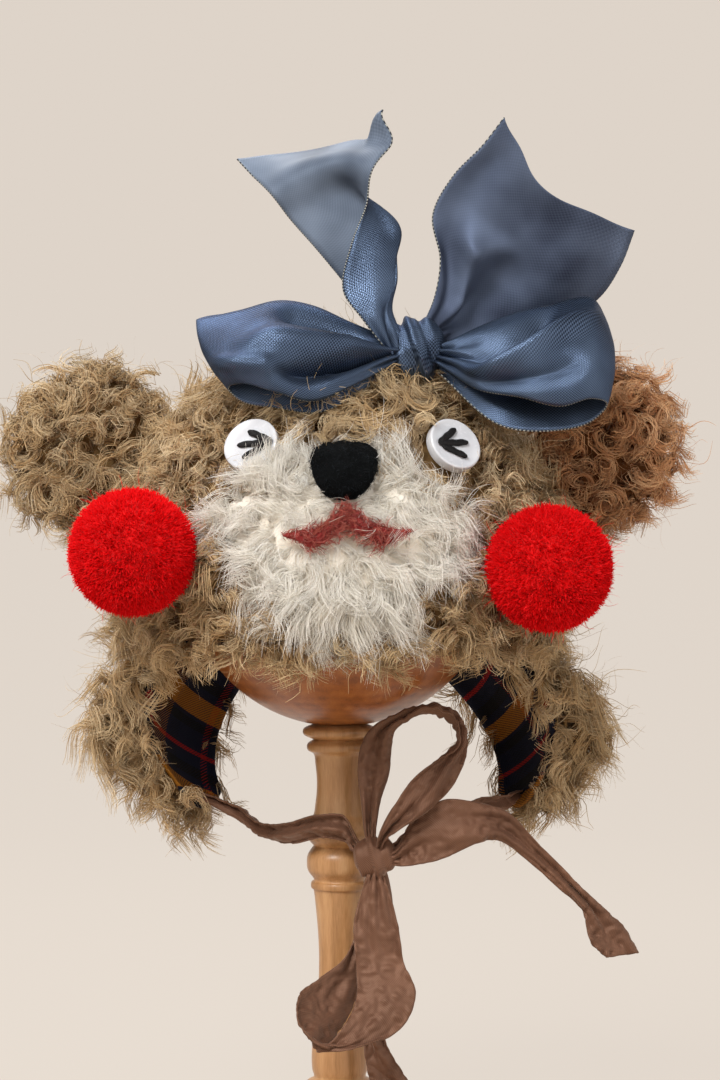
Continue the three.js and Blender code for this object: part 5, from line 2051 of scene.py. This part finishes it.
BOW_RIBBONS = (
    Ribbon(
        "bow_loop_left",
        "bow_left_loop",
        (
            ((-4.8, -3.9, -2.8), (-5.1, -4.2, -0.8), (-5, -3.8, 1.6)),
            ((-16.9, -15, -10.3), (-16.9, -13, -2.3), (-17, 0, 6.9)),
            ((-26.9, -19, -14.3), (-26.4, -17, -1.9), (-27, 2, 11.5)),
            ((-36.1, -21, -11.9), (-36.4, -19, -0.5), (-35.3, 2, 12.8)),
            ((-44.1, -19, -9.8), (-46.9, -18, -2), (-45.8, 0, 10)),
            ((-47.9, -14, -10.7), (-54.1, -11, -2.2), (-56.8, 2, 7.8)),
            ((-44.5, -12, -13.9), (-49, -7, -2.6), (-53.5, 8, 9.4)),
            ((-35.1, -13, -15.7), (-37.4, -6, -2.6), (-36.5, 13, 11)),
            ((-25, -15, -16.8), (-24.6, -6, -3.6), (-24.9, 11, 8.7)),
            ((-5, -0.8, -5), (-6, -0.2, -3.2), (-6.4, 0.4, -1.2)),
        ),
        steps=140,
        stretch=2.9,
        pleats=0.0014,
        seed=0.4,
        folds=(
            Fold((0.0, 0.42), (0.36, 0.2), -5.0, 0.1),
            Fold((0.0, 0.62), (0.46, 0.52), 3.6, 0.13),
            Fold((0.02, 0.82), (0.38, 0.86), -3.4, 0.08),
            Fold((0.28, 0.25), (0.54, 0.4), 2.0, 0.1),
        ),
    ),
    Ribbon(
        "bow_loop_right",
        "bow_right_loop",
        (
            ((4.8, -3.9, -3.6), (5.3, -3.9, -1.5), (5.6, -3, 0.6)),
            ((15.3, -15, -11.3), (16.3, -15, -3.2), (16.6, -3, 5.9)),
            ((25, -20, -13.3), (26.1, -19, -2), (27.3, -1, 9.9)),
            ((34.9, -21, -15.6), (35.1, -19, -1), (36.6, 0, 12.3)),
            ((42.5, -20, -13.6), (44.7, -17, -1.4), (45, 1, 13.2)),
            ((47.2, -15, -14.8), (49.6, -9, -2.8), (48, 3, 8.5)),
            ((43.1, -13, -19.2), (43.9, -5, -4.5), (42.6, 9, 9.5)),
            ((32.4, -14, -21.5), (32.5, -4, -6), (33.7, 12, 9.3)),
            ((20.4, -14, -20), (21.5, -4, -6.5), (22.8, 10, 6.5)),
            ((5, -1, -5.6), (5.9, 0, -3.6), (6.4, 1.1, -1.4)),
        ),
        steps=140,
        stretch=2.9,
        pleats=0.0014,
        seed=2.1,
        front=-1.0,
        folds=(
            Fold((0.03, 0.15), (0.5, 0.92), 4.2, 0.08),
            Fold((0.03, 0.42), (0.36, 0.97), -4.4, 0.11),
            Fold((0.08, 0.05), (0.44, 0.42), -2.4, 0.09),
        ),
    ),
    Ribbon(
        "bow_tail_left",
        "bow_left_tail",
        (
            ((-6.6, -5, -2.2), (-5.6, -4.6, 0.5), (-3.4, 0.5, 5.5)),
            ((-14, -8.5, 7), (-6.7, -5, 9.7), (-11.8, 3, 9.5)),
            ((-19, -7, 14.7), (-4.4, -3, 18.2), (-18.5, 5, 17.5)),
            ((-16.9, -6, 26.3), (-6.6, 1, 30.5), (-25.8, 5, 26.3)),
            ((-12.9, -4, 36.8), (-17.5, 4, 40.5), (-33.1, 5, 34.5)),
            ((-8.7, -2, 48.4), (-24, 6, 49.7), (-40.2, 6, 42.8)),
            ((0.2, 3, 60.8), (-26.6, 13, 53.3), (-46.6, 9, 50.2)),
        ),
        seed=3.3,
        front=-1.0,
        folds=(
            Fold((0.79, -0.5), (0.76, 1.5), 2.6, 0.13),
            Fold((0.4, 0.42), (0.8, 0.5), -2.0, 0.18),
            Fold((0.05, 0.4), (0.5, 0.45), 1.8, 0.12),
        ),
        sides=("blue ribbon", "blue ribbon back"),
        tip_curl=(-9.0, -2.0, 1.2),
        tip_waves=((0.72, 0.2, 2.4), (0.17, 0.1, -3.6)),
    ),
    Ribbon(
        "bow_tail_right",
        "bow_right_tail",
        (
            ((1.5, -1.4, 6.2), (4, -1.5, 3.4), (6, 0.8, 0.4)),
            ((4.5, 0.5, 13.7), (9.5, 4, 8.4), (13.5, 8, 2)),
            ((6, 0, 23.7), (13, 6, 14), (23.5, 14, 4)),
            ((4, -1, 34.4), (19, 5, 21.5), (36, 16, 7.5)),
            ((9, -3, 44), (24, 3, 30), (47.8, 14, 14.8)),
            ((16.5, -5, 51.6), (29, 1, 38), (53.2, 11, 22.8)),
            ((21.8, -7, 58.3), (32.5, -1, 41.1), (56.5, 8, 31.6)),
        ),
        seed=5.0,
        tip_waves=((0.22, 0.15, 1.8), (0.78, 0.15, 1.5)),
        # The right tail's face wears the copy of the blue ribbon with painted shade.
        sides=("blue ribbon painted shade", "blue ribbon"),
        folds=(
            Fold((0.06, 0.44), (0.66, 0.3), 3.0, 0.09),
            Fold((0.44, 0.26), (0.66, 0.6), 1.8, 0.08),
            Fold((0.0, 0.62), (0.7, 0.56), -2.8, 0.12),
            Fold((0.0, 0.82), (1.2, 0.8), 2.0, 0.14),
            Fold((0.2, 0.14), (1.1, 0.16), -1.6, 0.12),
        ),
    ),
)

LEFT_TIE: tuple[Station, ...] = (
    ((-35.8, 26, 10.3), (-36.8, 28, 6)),
    ((-29.6, 20, 6.6), (-30.5, 22, 1.8)),
    ((-22.6, 11, 7.7), (-22.7, 12.5, 1.7)),
    ((-14.5, 3, 10.8), (-14, 3.4, 4.4)),
    ((-8, 1.6, 10.6), (-8, 2, 3.5)),
    ((-4.4, 1.2, 4.3), (-5.6, 1.3, 1)),
)
RIGHT_TIE: tuple[Station, ...] = (
    ((36.4, 24, 13.5), (35.7, 26, 8.7)),
    ((29, 19, 13.2), (28.6, 21, 8.4)),
    ((21.5, 13, 12.3), (21.6, 15, 4.3)),
    ((13.3, 7, 10.8), (13.4, 9, 0.5)),
    ((4.7, 1.9, 3.2), (5.3, 2.1, -1)),
)
UPPER_LOOP: tuple[Station, ...] = (
    ((-2.5, -0.6, 5.8), (0.2, -0.8, 6.2)),
    ((-3.4, 0.6, 14.6), (1.4, 0, 14.6)),
    ((-4.4, 1.5, 21.9), (3.7, 0.5, 22)),
    ((-3.6, 1.5, 28.8), (4.2, 0.5, 28.3)),
    ((-0.7, 0, 33.7), (5.5, -2, 33.4)),
    ((6.6, -0.5, 37.2), (9.7, -4, 36.4)),
    ((14.5, -1, 39.4), (15.4, -5, 38.2)),
    ((21.3, -1, 37.6), (20.1, -5, 35.8)),
    ((24.4, -2, 32.3), (20.9, -6, 30.8)),
    ((23.8, -3, 26.4), (16.4, -5, 26.1)),
    ((20.6, -5, 19.6), (9.9, -6, 20.9)),
    ((13.5, -6.5, 12.5), (4.6, -6.4, 13.6)),
    ((3.6, -4.6, 6.2), (1.2, -4.6, 6.6)),
)
LOWER_LOOP: tuple[Station, ...] = (
    ((-2.4, -2.2, -5.8), (2.6, -2.2, -5.6)),
    ((-5.5, -4, -17.4), (6, -4, -17.4)),
    ((-4.9, -6, -27.5), (7.5, -5, -26.9)),
    ((-4.7, -9, -34.7), (10.6, -7, -34.3)),
    ((-7.5, -13, -40.9), (6.9, -11, -42.6)),
    ((-13.6, -16, -46.4), (-3.4, -15, -46.6)),
    ((-20.3, -15, -40), (-14.7, -14, -48.1)),
    ((-19.9, -11, -34.3), (-11.1, -8, -46.5)),
    ((-14.8, -6, -30.9), (-7.8, -3, -42.4)),
    ((-7.8, -1, -25.7), (-3.4, 0.5, -33.9)),
    ((-3.4, 1.5, -15.7), (0.3, 2, -18.4)),
    ((-1.4, 1.4, -6.6), (1, 1.4, -6.8)),
)
SIDE_TAIL: tuple[Station, ...] = (
    ((5.3, -1.8, 2.4), (5.3, -1.8, -2)),
    ((9.6, -2, 9.4), (9.6, -3, -1.9)),
    ((18.2, -3, 15.2), (18.2, -4, 0.2)),
    ((27.4, -3, 14.3), (26.6, -4, 4)),
    ((34.8, -2, 11.8), (32.2, -2, 4.5)),
    ((42.7, -1, 3.6), (40.6, -1, -1.4)),
    ((49.9, 0, -3.6), (47.5, 0, -7.6)),
    ((55.9, 0.5, -9.7), (54.4, 1, -14.3)),
    ((61.4, 3, -15.1), (55.4, 0, -18)),
    ((65.8, 4, -19.5), (56.3, -1, -22.3)),
    ((69.3, 3, -25.9), (60.6, 0, -26.4)),
)
DOWN_TAIL: tuple[Station, ...] = (
    ((0, 3.2, -5), (3, 3, -4.6)),
    ((-0.2, 4.5, -20.1), (5.1, 4, -20)),
    ((-1, 5, -36), (4.3, 3.5, -35.7)),
    ((-2.6, 4, -49), (2.4, 2.5, -48.7)),
    ((-1.3, 3, -59.9), (8.7, 1.5, -59.5)),
    ((0.3, 1, -69.3), (11.3, 1, -67.7)),
)


def knot_piece(
    name: str, node: str, cloth: Cloth, lean: float, pleats: float, grow: float
) -> np.ndarray:
    """Shape a knot: a pleated lump of ribbon, wrapped round its neck.

    Args:
        name: the piece's name.
        node: the CAD node.
        cloth: the ribbon.
        lean: how much the pleats slant.
        pleats: the pleats' height.
        grow: how much the knot is larger than its solid.

    Returns:
        The knot's centre.
    """
    middle, half = middle_and_half(node)
    half = half + grow
    knot = primitive(name, bpy.ops.mesh.primitive_uv_sphere_add, segments=72, ring_count=48, radius=1.0)
    ball = points_of(knot)
    phase = ball[:, 0] * 7.5 + ball[:, 2] * lean
    ridge = np.cos(phase) + 0.35 * np.cos(phase * 2.3 + 1)
    waist = 1 - 0.12 * (1 - np.abs(ball[:, 0])) * (np.abs(ball[:, 2]) < 2)
    out = 1 + pleats * ridge * np.sqrt(np.clip(1 - ball[:, 0] ** 2, 0, 1)) / half.mean()
    soft = wobble(ball, 2.2, lean) * 0.06
    set_points(knot, middle + ball * half * (out * waist + soft + 0.04)[:, None])
    cloth_map(knot, lambda rows: np.stack([rows[:, 0], rows[:, 2] + rows[:, 1]], 1) / MM)
    smooth(knot)
    settle(dress(knot, cloth.finish), "bonnet", [node])
    return middle


@dataclass(frozen=True)
class Bow:
    """The blue bow on the crown."""

    head: Head
    gap: float = 0.0013

    def build(self) -> None:
        """Make the knot, the loops and the tails, and keep them off the crown."""
        origin = knot_piece("bow_knot_wrap", "bow_knot", Cloth.BLUE, 3.0, 0.0007, 0.0013)
        for ribbon in BOW_RIBBONS:
            grid = ribbon.grid(origin, lambda points: self.head.clear(points, self.gap))
            sheet = ribbon.build(grid)
            rolls = ribbon.edging(grid)
            settle(dress(rolls, "ribbon edge"), "bonnet")
            settle(sheet, "bonnet", [ribbon.node])
            ribbon.declare(sheet, grid, "bow_knot_wrap", [rolls])


@dataclass(frozen=True)
class Ties:
    """The crinkled brown ribbon that ties the flaps. Each length has steps and its gathers' height."""

    tuck: float = 0.4
    keep: float = 0.54
    lengths: tuple[tuple[str, tuple[Station, ...], int, float], ...] = (
        ("left_tie", LEFT_TIE, 90, 0.0012),
        ("right_tie", RIGHT_TIE, 80, 0.0009),
        ("upper_loop", UPPER_LOOP, 150, 0.0009),
        ("lower_loop", LOWER_LOOP, 170, 0.0003),
        ("side_tail", SIDE_TAIL, 150, 0.0006),
        ("down_tail", DOWN_TAIL, 130, 0.001),
    )

    def start(self, node: str, origin: np.ndarray) -> Station:
        """Find a tie's first station from its CAD solid.

        Args:
            node: the tie's CAD node.
            origin: the knot's centre.

        Returns:
            The station at the flap.
        """
        points = np.array([v.co for v in FRAME["nodes"][node].data.vertices])
        far = points[np.argsort(-np.linalg.norm(points - origin, axis=1))[:40]]
        high = far[:, 2] > far[:, 2].mean()
        return tuple(tuple((far[half].mean(0) - origin) / MM) for half in (high, ~high))

    def tucked(self, station: Station) -> Station:
        """Draw a station into the knot."""
        return tuple((x * self.tuck, y * self.tuck, z * self.tuck) for x, y, z in station)

    def build(self) -> None:
        """Make the knot and every length of ribbon."""
        origin = knot_piece("tie_knot_wrap", "tie_knot", Cloth.BROWN, 2.0, 0.0005, 0.0004)
        for seed, (name, route, steps, gathers) in enumerate(self.lengths):
            between = name.endswith("_tie")
            node = name if between else f"tie_{name}"
            stations = (self.start(node, origin) if between else self.tucked(route[0]), *route)
            if not name.endswith("_tail"):
                stations = (*stations, self.tucked(route[-1]))
            ribbon = Ribbon(
                f"{name}_ribbon",
                node,
                stations,
                Cloth.BROWN,
                steps,
                24,
                pleats=0.0004,
                crinkle=0.0011,
                gathers=gathers,
                seed=seed * 1.7 + 0.6,
            )
            grid = ribbon.grid(origin)
            sheet = ribbon.build(grid)
            settle(sheet, None if between else "bonnet", [node])
            ribbon.declare(sheet, grid, "tie_knot_wrap")
            if between:
                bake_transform(sheet)
        loop = bpy.data.objects["upper_loop_ribbon"]
        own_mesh(loop)


@dataclass(frozen=True)
class Studio:
    """The camera, the lamps and the pale backdrop."""

    eye: Row = (0.0054, -0.65, 0.179)
    aim: Row = (0.0, 0.0, 0.17)
    lens: float = 80.6
    sensor: float = 36.0
    reach: float = 4.0
    wall: float = 2.2
    sweep: float = 1.4
    height: float = 3.5
    sky: float = 0.5
    seen_sky: float = 0.83

    def build(self) -> None:
        """Make everything round the object."""
        self.camera()
        self.backdrop()
        self.lamp("key", (-0.43, -0.86, 0.98), 0.55, 16.2, (1.0, 0.97, 0.93))
        self.lamp("fill", (0.9, -0.9, 0.35), 0.9, 4.2, (1.0, 0.97, 0.94))
        self.lamp("top", (-0.2, 0.45, 1.0), 0.7, 8.0, (1.0, 0.98, 0.95))
        world = bpy.data.worlds.new("soft daylight")
        bpy.context.scene.world = world
        world.use_nodes = True
        nodes = Nodes(world.node_tree)
        seen = nodes.backdrop_rays()
        nodes.fill(
            world.node_tree.nodes["Background"],
            Color=nodes.mix(seen, (0.95, 0.93, 0.9, 1.0), linear(BackdropFinish.seen)),
            Strength=nodes.math("MULTIPLY_ADD", seen, self.seen_sky - self.sky, self.sky),
        )
        bpy.context.scene.view_settings.view_transform = "Standard"

    def camera(self) -> None:
        """Set the camera at the photograph's place."""
        data = bpy.data.cameras.new("camera")
        data.lens = self.lens
        data.sensor_width = self.sensor
        data.sensor_fit = "AUTO"
        data.clip_start = 0.01
        camera = linked("camera", data)
        camera.location = self.eye
        camera.rotation_euler = (math.pi / 2, 0, 0)
        bpy.context.scene.camera = camera

    def lamp(self, name: str, place: Row, size: float, power: float, colour: Row) -> None:
        """Hang one square lamp that faces the head.

        Args:
            name: the lamp's name.
            place: where it hangs.
            size: its side.
            power: in watts.
            colour: its light.
        """
        data = bpy.data.lights.new(name, "AREA")
        data.size = size
        data.energy = power
        data.color = colour
        lamp = linked(name, data)
        lamp.location = place
        lamp.rotation_euler = (Vector(self.aim) - Vector(place)).to_track_quat("-Z", "Y").to_euler()

    def backdrop(self) -> None:
        """Sweep a floor up into a wall behind the object."""
        turns = np.linspace(0, math.pi / 2, 25)
        bend = [(self.wall - self.sweep * (1 - math.sin(a)), self.sweep * (1 - math.cos(a))) for a in turns]
        profile = [(-self.reach, 0.0), (0.0, 0.0), *bend, (self.wall, self.height)]
        corners = [(x, y, z) for y, z in profile for x in (-self.reach, self.reach)]
        faces = [(2 * i, 2 * i + 1, 2 * i + 3, 2 * i + 2) for i in range(len(profile) - 1)]
        mesh = bpy.data.meshes.new("pale_sweep")
        mesh.from_pydata(corners, [], faces)
        sweep = linked("pale_sweep", mesh)
        smooth(sweep)
        dress(sweep, "pale backdrop")


def main() -> None:
    """Build the bonnet and its stand round the frame."""
    logging.basicConfig(level=logging.INFO, format="%(message)s")
    FRAME.update(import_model())
    deselect()
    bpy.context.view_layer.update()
    GROUPS.update(weave=weave_group(), grain=grain_group(), stripes=stripe_group())
    head = Head.from_frame()
    Studio().build()
    Stand().build(head)
    for node, cut in LINING_CUTS.items():
        cut.line(node)
    Fur(head).build()
    Face(head).build()
    Pompoms().build()
    Bow(head).build()
    Ties().build()


if __name__ == "__main__":
    main()
